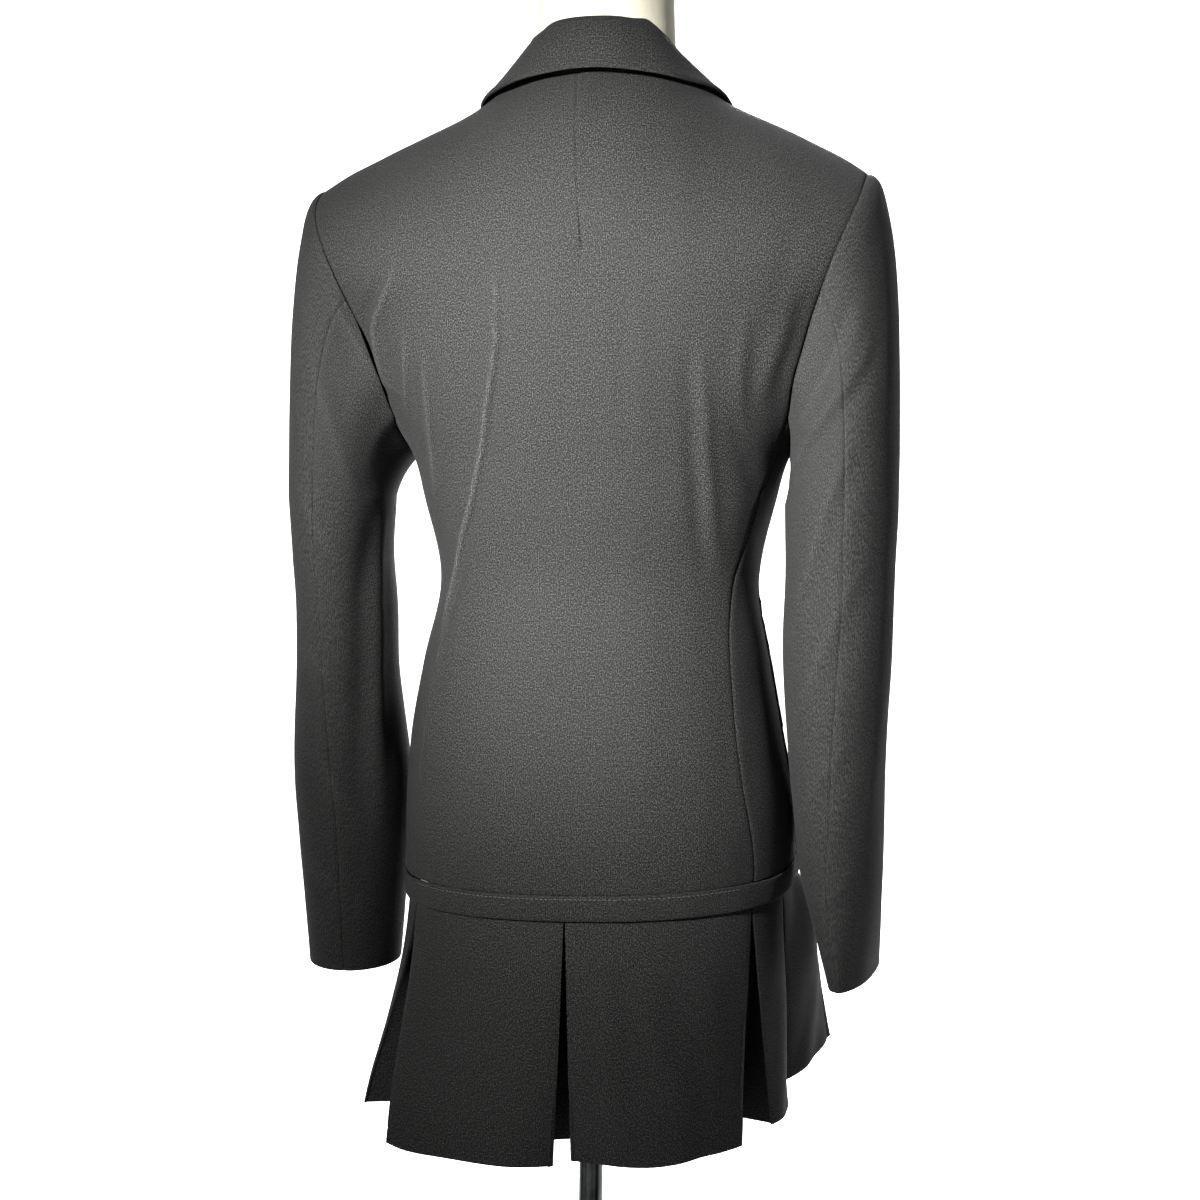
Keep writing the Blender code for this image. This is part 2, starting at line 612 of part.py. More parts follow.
def skirt_rows(side, top, hem, levels):
    """Rows of the pleated part from under the band down to the hem."""
    power = 1.1 - FLARE_EARLY * (side < 0) * eased((-0.01 - hem[:, 1]) / 0.05)
    rows = []
    for level in levels:
        flare = max(0.0, (level - UNDER_BAND) / (1 - UNDER_BAND)) ** power
        plan = top + (hem[:, :2] - top) * flare[:, None]
        z = SKIRT_TOP + (HEM_HEIGHT + hem[:, 2] - SKIRT_TOP) * level
        rows.append(np.stack((side * plan[:, 0], plan[:, 1], z), axis=-1))
    return leaned(np.array(rows))


# ---------------------------------------------------------------- collar, lapels

def collar_line(name, at):
    """One of the collar's named lines, read as a smooth curve along its stations."""
    rows = [(station.share, *getattr(station, name)) for station in COLLAR]
    share, x, y, z = rows[1]
    line = Table("share x y z", rows + [(-share, -x, y, z)])
    return np.stack([line(axis, at) for axis in "xyz"], axis=-1)


def collar_points(along, across):
    """Collar: along -1 (right end) to 1 (left end), across 0 (neck) to 1 (edge)."""
    share = np.abs(along)
    side = np.where(along < 0, -1.0, 1.0)
    seam = collar_line("seam", share)
    roll = collar_line("roll", share)
    roll[..., 2] -= side * COLLAR_SKEW * np.exp(-((share - 0.29) / 0.07) ** 2)
    edge = collar_line("edge", share)
    stand = np.clip(across / 0.4, 0, 1)[..., None]
    fall = np.clip((across - 0.4) / 0.6, 0, 1)[..., None]
    out = edge - roll
    level_out = unit(out * (1.0, 1.0, 0.0))
    swell = ROLL_WIDTH * (1 - 0.6 * share[..., None]) * np.sin(np.pi * fall ** 0.6)
    point = np.where(fall > 0, roll + out * fall + level_out * swell,
                     seam + (roll - seam) * stand)
    x, y, z = point[..., 0], point[..., 1], point[..., 2]
    x, y, z = laid_over(x, y, z, COLLAR_LIFT * np.clip((across - 0.4) / 0.2, 0, 1))
    return tilted(side * x, y, z)


def laid_over(x, y, z, gap):
    """Moves a point out of the body's surface until it clears it by the gap."""
    face = np.where(y < 0, -1, 1)
    full = np.where(face > 0, BODY("back", z), BODY("front", z))
    share = np.clip(np.abs(y) / full, 0, 1)
    ridge = SHOULDER("height", x)
    roof = ridge - SHOULDER("rounding", x) * (1 - np.sqrt(1 - share ** 2))
    wall = np.where(face > 0, depth(1, x, z), depth(-1, x, z))
    steep = np.clip((share - 0.55) / 0.2, 0, 1)
    z = np.where(gap > 0, np.maximum(z, z * steep + (roof + gap * 1.1) * (1 - steep)), z)
    out = np.maximum(np.abs(y), wall + gap * 1.35) * face
    y = np.where((gap > 0) & (steep > 0), y * (1 - steep) + out * steep, y)
    return x, y, z


def lapel_points(side, along, across):
    """Lapel on the chest: along 0 (break) to 1 (gorge), across 0 (roll) to 1 (edge)."""
    low = BREAK_HEIGHT + 0.004 if side < 0 else LEFT_BREAK_HEIGHT
    z_in = low + (LAPEL_GORGE - low) * along
    width = LAPEL_WIDTH * np.sin(np.clip(along, 0, 1) * 1.5) ** 0.8
    x = front_edge(z_in) + 0.0012 + width * across
    z = z_in - (LAPEL_GORGE - LAPEL_TOP) * across * along
    lift = LAPEL_LIFT + 0.0012 * np.sin(np.pi * np.clip(across, 0, 1))
    return placed(side, -1, x, z, lift + lap_lift(side, x))


# ---------------------------------------------------------------- Blender

def new_collection(name):
    collection = bpy.data.collections.new(name)
    bpy.context.scene.collection.children.link(collection)
    return collection


def material(name, color, roughness, metallic=0.0):
    made = bpy.data.materials.get(name)
    if made is None:
        made = bpy.data.materials.new(name)
        made.use_nodes = True
        shader = made.node_tree.nodes["Principled BSDF"]
        shader.inputs["Base Color"].default_value = (*color, 1.0)
        shader.inputs["Roughness"].default_value = roughness
        shader.inputs["Metallic"].default_value = metallic
    return made


def add_object(name, mesh, finish, collection):
    thing = bpy.data.objects.new(name, mesh)
    mesh.materials.append(finish)
    collection.objects.link(thing)
    for face in mesh.polygons:
        face.use_smooth = True
    return thing


def grid_mesh(name, points, flip=False, wrap=False):
    """A sheet of quads through rows of points."""
    rows, columns = points.shape[:2]
    mesh = bpy.data.meshes.new(name)
    last = columns if wrap else columns - 1
    faces = []
    for r in range(rows - 1):
        for c in range(last):
            d = (c + 1) % columns
            face = (r * columns + c, r * columns + d, (r + 1) * columns + d,
                    (r + 1) * columns + c)
            faces.append(face[::-1] if flip else face)
    mesh.from_pydata([tuple(p) for p in points.reshape(-1, 3)], [], faces)
    mesh.update()
    return mesh


def cloth(name, points, collection, flip=False, thickness=CLOTH, offset=-1.0):
    """A cloth wall: a sheet of points thickened by Solidify."""
    thing = add_object(name, grid_mesh(name, points, flip), WOOL, collection)
    wall = thing.modifiers.new("wall", "SOLIDIFY")
    wall.thickness = thickness
    wall.offset = offset
    return thing


def across_and_up(fractions, levels):
    return np.meshgrid(np.array(fractions), np.array(levels))


# Rows of the body panels. One ends where the side back seam meets the armhole, one
# under the arm, and one where the sleeve's fore seam starts.
DOME_START = 1.255
SIDE_BACK_LEVEL = ((SIDE_BACK_TOP - BAND_BOTTOM - BAND_HEIGHT)
                   / (DOME_START - BAND_BOTTOM - BAND_HEIGHT))
UNDERARM_LEVEL = ((UNDERARM_HEIGHT - BAND_BOTTOM - BAND_HEIGHT)
                  / (DOME_START - BAND_BOTTOM - BAND_HEIGHT))
FORE_LEVEL = 0.90
# Buttons: level on the front and how far each stands off it.
BUTTONS = ((UNDERARM_LEVEL, 0.0004), (0.51, 0.0008), (0.295, 0.0005))
BODY_LEVELS = (0.0, 0.10, 0.20, 0.295, 0.40, 0.51, 0.60, 0.68, UNDERARM_LEVEL, SIDE_BACK_LEVEL,
               FORE_LEVEL, 1.0, 1.17, 1.34, 1.51, 1.68, 1.84, 1.95, 2.0)
SIDE_BACK_FRACTIONS = np.linspace(0, 1, 6)
SLEEVE_LEVELS = (0.0, 0.12, 0.26, 0.42, 0.6, 0.8, 1.0, 1.12, 1.25, 1.38, 1.5, 1.62,
                 1.75, 1.88, 2.0)


def build_back(collection):
    tip_angle = float(angle_of(TIP_X, TIP_HEIGHT))
    neck = float(angle_of(NECK_X, TIP_HEIGHT)) / tip_angle
    half = [0.0, neck * 0.35, neck * 0.7, neck, 0.42, 0.57, 0.70, 0.82, 0.92, 1.0]
    fractions = [-f for f in half[:0:-1]] + half
    f, level = across_and_up(fractions, BODY_LEVELS)
    return cloth("back", back_points(f, level), collection, flip=True)


def build_side_back(collection, side, name):
    levels = [level / SIDE_BACK_LEVEL for level in BODY_LEVELS if level <= SIDE_BACK_LEVEL]
    f, level = across_and_up(SIDE_BACK_FRACTIONS, levels)
    return cloth(name, side_back_points(side, f, level), collection, flip=side > 0)


def build_front(collection, side, name):
    fractions = (0.0, 0.1, 0.2, 0.32, 0.44, 0.56, 0.68, 0.79, 0.88, 0.95, 1.0)
    f, level = across_and_up(fractions, BODY_LEVELS)
    return cloth(name, front_points(side, f, level), collection, flip=side < 0)


def armhole_turns(face, levels):
    """Turns of the armhole where the rows of a body panel end."""
    bottom = BAND_BOTTOM + BAND_HEIGHT
    return turn_of(face, column_height(TIP_X, np.array(levels), bottom, TIP_HEIGHT))


def build_sleeve(collection, side, word):
    """Top and under sleeve; at the armhole their columns meet the panels' rows."""
    upper = [level for level in BODY_LEVELS if level > 1.0]
    low_turns = turn_of(1, UNDERARM_HEIGHT + (SIDE_BACK_TOP - UNDERARM_HEIGHT)
                        * (1 - SIDE_BACK_FRACTIONS[1:]) ** 2)
    top_turns = np.concatenate((armhole_turns(-1, [FORE_LEVEL, 1.0] + upper[:-1]) - 360.0,
                                armhole_turns(1, upper[::-1] + [1.0])))
    under_turns = np.concatenate((armhole_turns(1, [1.0, FORE_LEVEL, SIDE_BACK_LEVEL]),
                                  low_turns, armhole_turns(-1, [SIDE_BACK_LEVEL, FORE_LEVEL])))
    levels = np.array(SLEEVE_LEVELS)[:, None]
    hind = seam_turn(levels)
    blend = np.clip(levels, 0, 1)
    along_arm = np.maximum(levels, 1.0)
    hind_gap = seam_gap(side, hind, along_arm)
    fore_gap = seam_gap(side, FORE_SEAM, along_arm)
    for piece, turns, low, high, low_gap, high_gap in (
            ("top_sleeve_", top_turns, FORE_SEAM - 360, hind, fore_gap, hind_gap),
            ("under_sleeve_", under_turns, hind, FORE_SEAM, hind_gap, fore_gap)):
        share = np.linspace(0, 1, len(turns))[None, :]
        inset = low_gap * (1 - share) - high_gap * share
        start = turns[None, :] + inset
        even = low + (high - low) * share + inset
        turn = start * (1 - blend) + even * blend
        points = sleeve_points(side, turn, levels + 0 * turn)
        cloth(piece + word, points, collection, flip=side > 0)


def build_band(collection):
    """The hip band, in one back piece and two fronts."""
    levels = np.array((0.0, 1.0))
    pieces = (("hip_band_back", -90.0, 90.0, 22), ("hip_band_left", 90.0, 187.0, 12),
              ("hip_band_right", -187.0, -90.0, 12))
    gap = 0.06
    for name, start, end, count in pieces:
        rows = []
        for level in levels:
            row = []
            for angle in np.linspace(start + gap, end - gap, count):
                x = band_point(angle, 0.0)[0]
                lift = lap_lift(-1, -x) if angle < -90 else 0.0
                point = band_point(angle, -BAND_LIFT - lift)
                z = BAND_BOTTOM + (BAND_HEIGHT - SEAM) * level
                row.append((point[0], point[1], z))
            rows.append(row)
        cloth(name, leaned(np.array(rows)), collection, flip=True)


def build_skirt(collection):
    levels = (0.0, UNDER_BAND, 0.2, 0.45, 0.72, 1.0)
    halves = {}
    for side in (1, -1):
        top, hem, marks = skirt_side(side, 8, 4)
        rows = skirt_rows(side, top, hem, levels)
        halves[side] = (rows, marks[1])
    left, left_mark = halves[1]
    right, right_mark = halves[-1]
    back = np.concatenate((right[:, right_mark:0:-1], left[:, :left_mark + 1]), axis=1)
    cut_ends(back)
    cloth("skirt_back", back, collection, False, PLEAT_CLOTH, 0.0)
    for side, rows, mark, name in ((1, left, left_mark, "skirt_left"),
                                   (-1, right, right_mark, "skirt_right")):
        cloth(name, rows[:, mark:], collection, side < 0, PLEAT_CLOTH, 0.0)


def cut_ends(rows):
    """Takes a seam's width off both ends of a run of points."""
    for end, inner in ((0, 1), (-1, -2)):
        step = rows[:, inner] - rows[:, end]
        rows[:, end] += step / np.linalg.norm(step, axis=-1, keepdims=True) * SEAM


def build_collar(collection):
    along = np.linspace(-1, 1, 29)
    across = (0.0, 0.2, 0.4, 0.46, 0.6, 0.8, 1.0)
    w, c = np.meshgrid(along, across)
    return cloth("collar", collar_points(w, c), collection, False)


def build_lapel(collection, side, name):
    along, across = np.meshgrid((0.02, 0.12, 0.25, 0.4, 0.55, 0.7, 0.85, 1.0),
                                np.linspace(0, 1, 6))
    points = lapel_points(side, along, across)
    return cloth(name, points, collection, side > 0)


def build_form(collection):
    """The dress form's body and neck, one smooth closed solid."""
    turns = np.linspace(0, 2 * math.pi, 32, endpoint=False)
    rings = []
    for z in (0.745, 0.752, 0.775, 0.81, 0.85, 0.90, 0.96, 1.01, 1.06, 1.10, 1.15, 1.20,
              1.25, 1.29, 1.32, 1.345, 1.362, 1.380):
        rings.append(form_section(turns, z))
    for z in (1.400, 1.413, 1.426, 1.440, 1.460, 1.500, 1.535):
        rings.append(neck_section(turns, z))
    rings = np.array(rings)
    mesh = grid_mesh("form", rings, flip=False, wrap=True)
    shape = bmesh.new()
    shape.from_mesh(mesh)
    bmesh.ops.holes_fill(shape, edges=[e for e in shape.edges if e.is_boundary])
    bmesh.ops.recalc_face_normals(shape, faces=shape.faces)
    shape.to_mesh(mesh)
    shape.free()
    return add_object("form", mesh, LINEN_FINISH, collection)


def form_section(turns, z):
    """A level section of the form, inside the jacket and just under its shoulders."""
    outline = np.linspace(0.0, TIP_X, 60)
    room = outline[SHOULDER("height", outline) - FORM_DROP > z]
    half = min(float(FORM("half_width", z)), room.max())
    x = half * np.sin(turns)
    face = np.where(np.cos(turns) >= 0, 1, -1)
    share = np.clip(np.abs(x) / max(half, float(FORM("half_width", z))), 0, 1)
    full = np.where(face > 0, BODY("back", z), BODY("front", z)) - FORM("short", z)
    y = full * (1 - share ** 2.1) ** (1 / 2.1) * over_shoulder(x, z + FORM_DROP)
    return tilted(x, face * y, z)


def neck_section(turns, z):
    """A section of the neck and its root."""
    power = 2.0 / FORM_NECK("round", z)
    face = np.where(np.cos(turns) >= 0, 1, -1)
    x = FORM_NECK("half_width", z) * np.sign(np.sin(turns)) * np.abs(np.sin(turns)) ** power
    full = np.where(face > 0, FORM_NECK("back", z), FORM_NECK("front", z))
    y = full * np.abs(np.cos(turns)) ** power
    return tilted(x, face * y, z)


def build_turned(name, profile, steps, finish, collection):
    """A turned piece: its profile runs down its outer side."""
    mesh = bpy.data.meshes.new(name)
    points = [(x, 0.0, z) for x, z in profile]
    edges = [(k, k + 1) for k in range(len(points) - 1)]
    mesh.from_pydata(points, edges, [])
    thing = add_object(name, mesh, finish, collection)
    turn = thing.modifiers.new("turn", "SCREW")
    turn.steps = steps
    turn.render_steps = steps
    turn.use_merge_vertices = True
    turn.merge_threshold = 0.0001
    turn.use_smooth_shade = True
    return thing


def build_stand(collection):
    rim = BASE_HEIGHT * 0.35
    base = [(0.0, HUB_HEIGHT), (HUB_RADIUS * 0.8, HUB_HEIGHT), (HUB_RADIUS, HUB_HEIGHT - 0.004),
            (HUB_RADIUS, BASE_HEIGHT + 0.004), (HUB_RADIUS + 0.006, BASE_HEIGHT),
            (BASE_RADIUS * 0.7, BASE_HEIGHT * 0.8), (BASE_RADIUS - 0.006, rim + 0.004),
            (BASE_RADIUS, rim), (BASE_RADIUS, 0.002), (BASE_RADIUS - 0.002, 0.0), (0.0, 0.0)]
    build_turned("base", base, 48, CHROME_FINISH, collection)
    top = FORM_BOTTOM - SEAM
    pole = [(0.0, top), (POLE_RADIUS, top), (POLE_RADIUS, HUB_HEIGHT + SEAM),
            (0.0, HUB_HEIGHT + SEAM)]
    build_turned("pole", pole, 24, CHROME_FINISH, collection)


def build_buttons(collection):
    """Buttons on the right front, facing out from it."""
    rim = BUTTON_RADIUS
    profile = [(0.0, 0.0022), (rim * 0.62, 0.0022), (rim * 0.72, 0.0034),
               (rim * 0.9, 0.0036), (rim, 0.0024), (rim, 0.0010), (rim * 0.9, 0.0), (0.0, 0.0)]
    for number, (level, lift) in enumerate(BUTTONS, 1):
        z = float(column_height(NECK_X, level, BAND_BOTTOM + BAND_HEIGHT, TIP_HEIGHT))
        button = build_turned("button_%d" % number, profile, 20, HORN_FINISH, collection)
        button.location = placed(-1, -1, 0.0, z, LAP_LIFT + lift)
        slope = (float(depth(-1, 0.0, z + 0.01)) - float(depth(-1, 0.0, z - 0.01))) / 0.02
        button.rotation_euler = (math.pi / 2 + math.atan(slope), 0.0, 0.0)


for old in list(bpy.data.objects):
    bpy.data.objects.remove(old)
WOOL = material("charcoal_wool", CHARCOAL, 0.82)
LINEN_FINISH = material("cream_linen", LINEN, 0.88)
CHROME_FINISH = material("chrome", CHROME, 0.15, 1.0)
HORN_FINISH = material("dark_horn", HORN, 0.35)
JACKET = new_collection("pleated_jacket_on_form")
build_back(JACKET)
for SIDE, WORD in ((1, "left"), (-1, "right")):
    build_side_back(JACKET, SIDE, "side_back_" + WORD)
    build_front(JACKET, SIDE, "front_" + WORD)
    build_sleeve(JACKET, SIDE, WORD)
    build_lapel(JACKET, SIDE, "lapel_" + WORD)
build_collar(JACKET)
build_band(JACKET)
build_skirt(JACKET)
build_buttons(JACKET)
build_form(JACKET)
build_stand(JACKET)
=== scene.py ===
"""Looks of the pleated jacket on its dress form: cloth in its folds, seams, stitching,
buttons, the linen form and its chrome stand, with floor, light and camera.

Metres, +Z up, the jacket's front towards -Y, as in the frame. The sizes and the
surfaces of the pieces are the same as the frame's; the sheets here are finer, with
creases, ironed seams and rounded edges.
"""

import math
from collections import namedtuple

import bmesh
import bpy
import numpy as np
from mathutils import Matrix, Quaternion, Vector


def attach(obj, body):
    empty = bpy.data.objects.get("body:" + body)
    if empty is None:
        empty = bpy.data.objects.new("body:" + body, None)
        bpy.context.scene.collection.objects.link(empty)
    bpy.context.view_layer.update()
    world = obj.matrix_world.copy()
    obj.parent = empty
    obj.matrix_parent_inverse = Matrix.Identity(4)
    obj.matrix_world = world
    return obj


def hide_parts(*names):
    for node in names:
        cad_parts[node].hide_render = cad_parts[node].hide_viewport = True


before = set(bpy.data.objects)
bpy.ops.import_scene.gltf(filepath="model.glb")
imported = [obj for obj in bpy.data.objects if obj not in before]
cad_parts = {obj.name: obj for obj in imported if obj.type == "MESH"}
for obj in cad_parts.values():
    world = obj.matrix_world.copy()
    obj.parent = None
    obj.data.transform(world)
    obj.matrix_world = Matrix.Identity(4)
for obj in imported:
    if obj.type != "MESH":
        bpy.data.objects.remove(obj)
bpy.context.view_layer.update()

# Driving sizes
CLOTH = 0.0016            # wall of the body, sleeves and collar
PLEAT_CLOTH = 0.0012      # wall of the pleated part
SEAM = 0.0003             # space left between two pieces
RIDGE_SEAM = 0.00004      # half the space along the shoulder and side seams
HEM_HEIGHT = 0.660
BAND_BOTTOM = 0.826
BAND_HEIGHT = 0.019
BODY_BOTTOM = BAND_BOTTOM + BAND_HEIGHT
UNDERARM_HEIGHT = 1.155
TIP_HEIGHT = 1.355        # shoulder tip, where the sleeve starts
TIP_X = 0.204
NECK_X = 0.068            # where the shoulder seam meets the neck
NECK_BACK = 0.060         # how far the back neck lies behind the shoulder seam
ROUNDNESS = 2.3           # 2 is an ellipse, more is squarer
SHOULDER_TILT = 0.017     # the wearer's right shoulder sits higher by this slope
SHOULDER_SHIFT = 0.009    # both shoulder tips sit this far to the wearer's left
TILT_START = 1.1          # both set in from this height up
TILT_SPAN = 0.25          # and are full this far above it
SIDE_BACK_TOP = 1.180     # where the side back seam runs into the armhole
LAP = 0.018               # how far each front passes the middle
LAP_LIFT = 0.0052         # the right front lies over the left by this much
SKIRT_LAP_LIFT = 0.0062   # and so does the pleated part, over the left band
LAP_FULL = 0.032          # it stays fully lifted this far out
LAP_FADE = 0.066          # and is back on the body this far out
BREAK_HEIGHT = 1.190      # where the lapel starts to roll
LEFT_BREAK_HEIGHT = 1.246
LAPEL_LIFT = 0.0026
LAPEL_TOP = 1.352
LAPEL_GORGE = 1.368
LAPEL_WIDTH = 0.064
ROLL_WIDTH = 0.0020
COLLAR_SKEW = 0.0026       # the collar's roll stands higher on the wearer's right by this
COLLAR_LIFT = 0.0026
SLEEVE_RING_HEIGHT = 1.120
CAP_DROP = 0.010          # how soon the sleeve head turns down past the shoulder tip
HIND_SEAM = 84.0          # degrees round the sleeve from its outer side, backwards
FORE_SEAM = 250.0
PLEAT_LAYER = 0.0023      # from one layer of a pleat to the next
PLEAT_INSET = 0.0034      # the pleated part hangs this far inside the band
PLEAT_PARTING = 0.0009    # half the space between the two folds of a pleat
SKIRT_TOP = 0.835
HIP_SHIFT = (0.0015, 0.0065)  # the hip's right and left side sit this far to the right
HIP_TILT = 0.045          # and the band climbs to the right by this slope
HIP_SWING = 0.011         # the right front swings out this much more beside the pleat
HIP_TOP = 0.970           # the hips hang even above this height
HIP_HALF = 0.150          # half the hips' width, for that
FRONT_START = -0.01       # the swing starts this far before the sides
FRONT_FULL = -0.06        # and is full here
UNDER_BAND = 0.055        # share of the pleated part that stays straight behind the band
FLARE_EARLY = 0.40        # the right front's pleats swing out sooner below the band
BAND_LIFT = 0.0016        # the band stands proud of the body
BUTTON_RADIUS = 0.010
FORM_BOTTOM = 0.745
FORM_DROP = 0.0032        # the form lies this far under the shoulder line


def within(share):
    """A share kept between 0 and 1."""
    return np.clip(share, 0, 1)


class Table:
    """Rows of sizes under named columns, read as smooth curves along the first one."""

    def __init__(self, names, rows):
        self.names = names.split()
        self.rows = np.array(sorted(rows))

    def __call__(self, name, at):
        xs = self.rows[:, 0]
        ys = self.rows[:, self.names.index(name)]
        slopes = np.gradient(ys, xs)
        k = np.clip(np.searchsorted(xs, at) - 1, 0, len(xs) - 2)
        span = xs[k + 1] - xs[k]
        t = within((at - xs[k]) / span)
        near = (2 * t**3 - 3 * t**2 + 1) * ys[k] + (t**3 - 2 * t**2 + t) * span * slopes[k]
        far = (3 * t**2 - 2 * t**3) * ys[k + 1] + (t**3 - t**2) * span * slopes[k + 1]
        return near + far


# The body as level sections. Above the underarm, half_width is where the section
# would end if it ran on under the sleeve.
BODY = Table("height half_width back front", [
    (0.800, 0.1510, 0.121, 0.113),
    (0.826, 0.1510, 0.121, 0.113),
    (0.890, 0.1500, 0.122, 0.113),
    (0.937, 0.1435, 0.117, 0.109),
    (0.998, 0.1320, 0.103, 0.104),
    (1.059, 0.1215, 0.090, 0.102),
    (1.120, 0.1325, 0.096, 0.113),
    (1.155, 0.1430, 0.101, 0.122),
    (1.180, 0.1600, 0.105, 0.127),
    (1.210, 0.1830, 0.109, 0.128),
    (1.255, 0.2080, 0.112, 0.122),
    (1.300, 0.2590, 0.110, 0.113),
    (1.360, 0.2900, 0.104, 0.104),
    (1.460, 0.3000, 0.100, 0.095),
])

# Outer edge of the back panel: the side back seam, then the armhole.
BACK_EDGE = Table("height x", [
    (0.826, 0.1270), (0.853, 0.1290), (0.874, 0.1275), (0.902, 0.1230), (0.937, 0.1175),
    (0.978, 0.1120), (1.039, 0.1066), (1.064, 0.1080), (1.091, 0.1155), (1.120, 0.1235),
    (1.150, 0.1340), (1.180, 0.1450), (1.210, 0.1515), (1.230, 0.1580), (1.250, 0.1645),
    (1.270, 0.1725), (1.294, 0.1825), (1.311, 0.1900), (1.333, 0.1990), (1.355, 0.2040),
])

# Front armhole.
FRONT_ARMHOLE = Table("height x", [
    (1.155, 0.1430), (1.163, 0.1410), (1.180, 0.1395), (1.210, 0.1415), (1.255, 0.1540),
    (1.300, 0.1750), (1.330, 0.1920), (1.355, 0.2040),
])

# The shoulder line from the neck out, and the height over which the body rounds
# over it.
SHOULDER = Table("x height rounding", [
    (0.000, 1.458, 0.150),
    (0.035, 1.449, 0.148),
    (0.068, 1.428, 0.142),
    (0.090, 1.412, 0.137),
    (0.130, 1.393, 0.126),
    (0.160, 1.379, 0.117),
    (0.190, 1.364, 0.107),
    (0.204, 1.355, 0.100),
])

# Sleeve sections: middle, half width across the body, half depth and twist in degrees.
SLEEVE_COLUMNS = "height x y across along twist"
SLEEVES = {
    +1: Table(SLEEVE_COLUMNS, [
        (0.739, 0.2070, -0.0400, 0.0350, 0.0410, 0.0),
        (0.800, 0.2035, -0.0290, 0.0395, 0.0440, 0.0),
        (0.854, 0.2005, -0.0180, 0.0430, 0.0470, 0.0),
        (0.901, 0.1983, -0.0075, 0.0442, 0.0490, 0.0),
        (0.940, 0.1968, 0.0030, 0.0410, 0.0510, 0.0),
        (0.979, 0.1953, 0.0125, 0.0368, 0.0520, 0.0),
        (1.041, 0.1937, 0.0205, 0.0351, 0.0535, 0.0),
        (1.074, 0.1955, 0.0230, 0.0345, 0.0550, 0.0),
        (1.120, 0.1955, 0.0240, 0.0368, 0.0570, 0.0),
        (1.150, 0.1955, 0.0240, 0.0378, 0.0575, 0.0),
    ]),
    -1: Table(SLEEVE_COLUMNS, [
        (0.762, 0.2000, -0.0150, 0.0135, 0.0548, 11.2),
        (0.800, 0.1950, -0.0090, 0.0210, 0.0540, 10.0),
        (0.850, 0.1885, 0.0000, 0.0290, 0.0530, 7.5),
        (0.901, 0.1855, 0.0080, 0.0325, 0.0530, 4.0),
        (0.948, 0.1833, 0.0140, 0.0350, 0.0530, 2.0),
        (1.010, 0.1825, 0.0200, 0.0383, 0.0535, 0.0),
        (1.074, 0.1828, 0.0230, 0.0382, 0.0550, 0.0),
        (1.120, 0.1828, 0.0240, 0.0393, 0.0570, 0.0),
        (1.150, 0.1830, 0.0240, 0.0395, 0.0575, 0.0),
    ]),
}

# Pleated part, a row for each panel from the middle back round to the middle front:
# angle at the band where it starts and ends (0 at the back, 90 at the side), the hem's
# two corners (x, y, height above the plain hem), and how far its middle bows out.
Panel = namedtuple("Panel", "start end hem_start hem_end bow")
PANELS = {
    +1: (
        Panel(0.0, 57.0, (-0.001, 0.154, 0.000), (0.126, 0.1335, 0.000), 0.003),
        Panel(57.0, 79.0, (0.161, 0.075, 0.002), (0.158, 0.018, 0.000), 0.003),
        Panel(79.0, 125.0, (0.156, -0.022, 0.000), (0.160, -0.090, 0.000), 0.004),
        Panel(125.0, 180.0, (0.139, -0.118, 0.000), (-0.139, -0.118, 0.000), -0.0275),
    ),
    -1: (
        Panel(0.0, 57.0, (0.012, 0.142, 0.000), (0.126, 0.0885, 0.000), 0.006),
        Panel(57.0, 79.0, (0.145, 0.050, 0.002), (0.152, -0.006, 0.000), 0.003),
        Panel(79.0, 125.0, (0.1475, -0.053, 0.000), (0.176, -0.130, 0.010), 0.002),
        Panel(125.0, 180.0, (0.146, -0.140, 0.002), (-0.146, -0.140, 0.002), -0.0480),
    ),
}

# Inverted pleats: angle at the band, how far the cloth is tucked under the panel
# before and after it, and how deep it opens at the hem.
Pleat = namedtuple("Pleat", "angle before after depth")
PLEATS = (
    Pleat(0.0, 0.040, 0.040, 0.038),
    Pleat(57.0, 0.040, 0.019, 0.036),
    Pleat(79.0, 0.019, 0.036, 0.030),
    Pleat(125.0, 0.036, 0.036, 0.034),
)

# Collar, a row for each station from the middle back to its front end: seam at the
# neck, top of the roll, and outer edge, each as x, y, z.
Station = namedtuple("Station", "share seam roll edge")
COLLAR = (
    Station(0.00, (0.0000, 0.0605, 1.4310), (0.0000, 0.0650, 1.4620), (0.0000, 0.0740, 1.4248)),
    Station(0.18, (0.0290, 0.0545, 1.4320), (0.0270, 0.0590, 1.4608), (0.0350, 0.0700, 1.4223)),
    Station(0.36, (0.0540, 0.0370, 1.4330), (0.0450, 0.0385, 1.4560), (0.0680, 0.0510, 1.4182)),
    Station(0.50, (0.0675, 0.0060, 1.4325), (0.0560, 0.0060, 1.4445), (0.0915, 0.0100, 1.4158)),
    Station(0.66, (0.0645, -0.0450, 1.4180), (0.0565, -0.0430, 1.4310), (0.0985, -0.0400, 1.4000)),
    Station(0.82, (0.0605, -0.0730, 1.3950), (0.0560, -0.0760, 1.4080), (0.0985, -0.0660, 1.3830)),
    Station(1.00, (0.0575, -0.0885, 1.3765), (0.0555, -0.0900, 1.3810), (0.0910, -0.0830, 1.3670)),
)

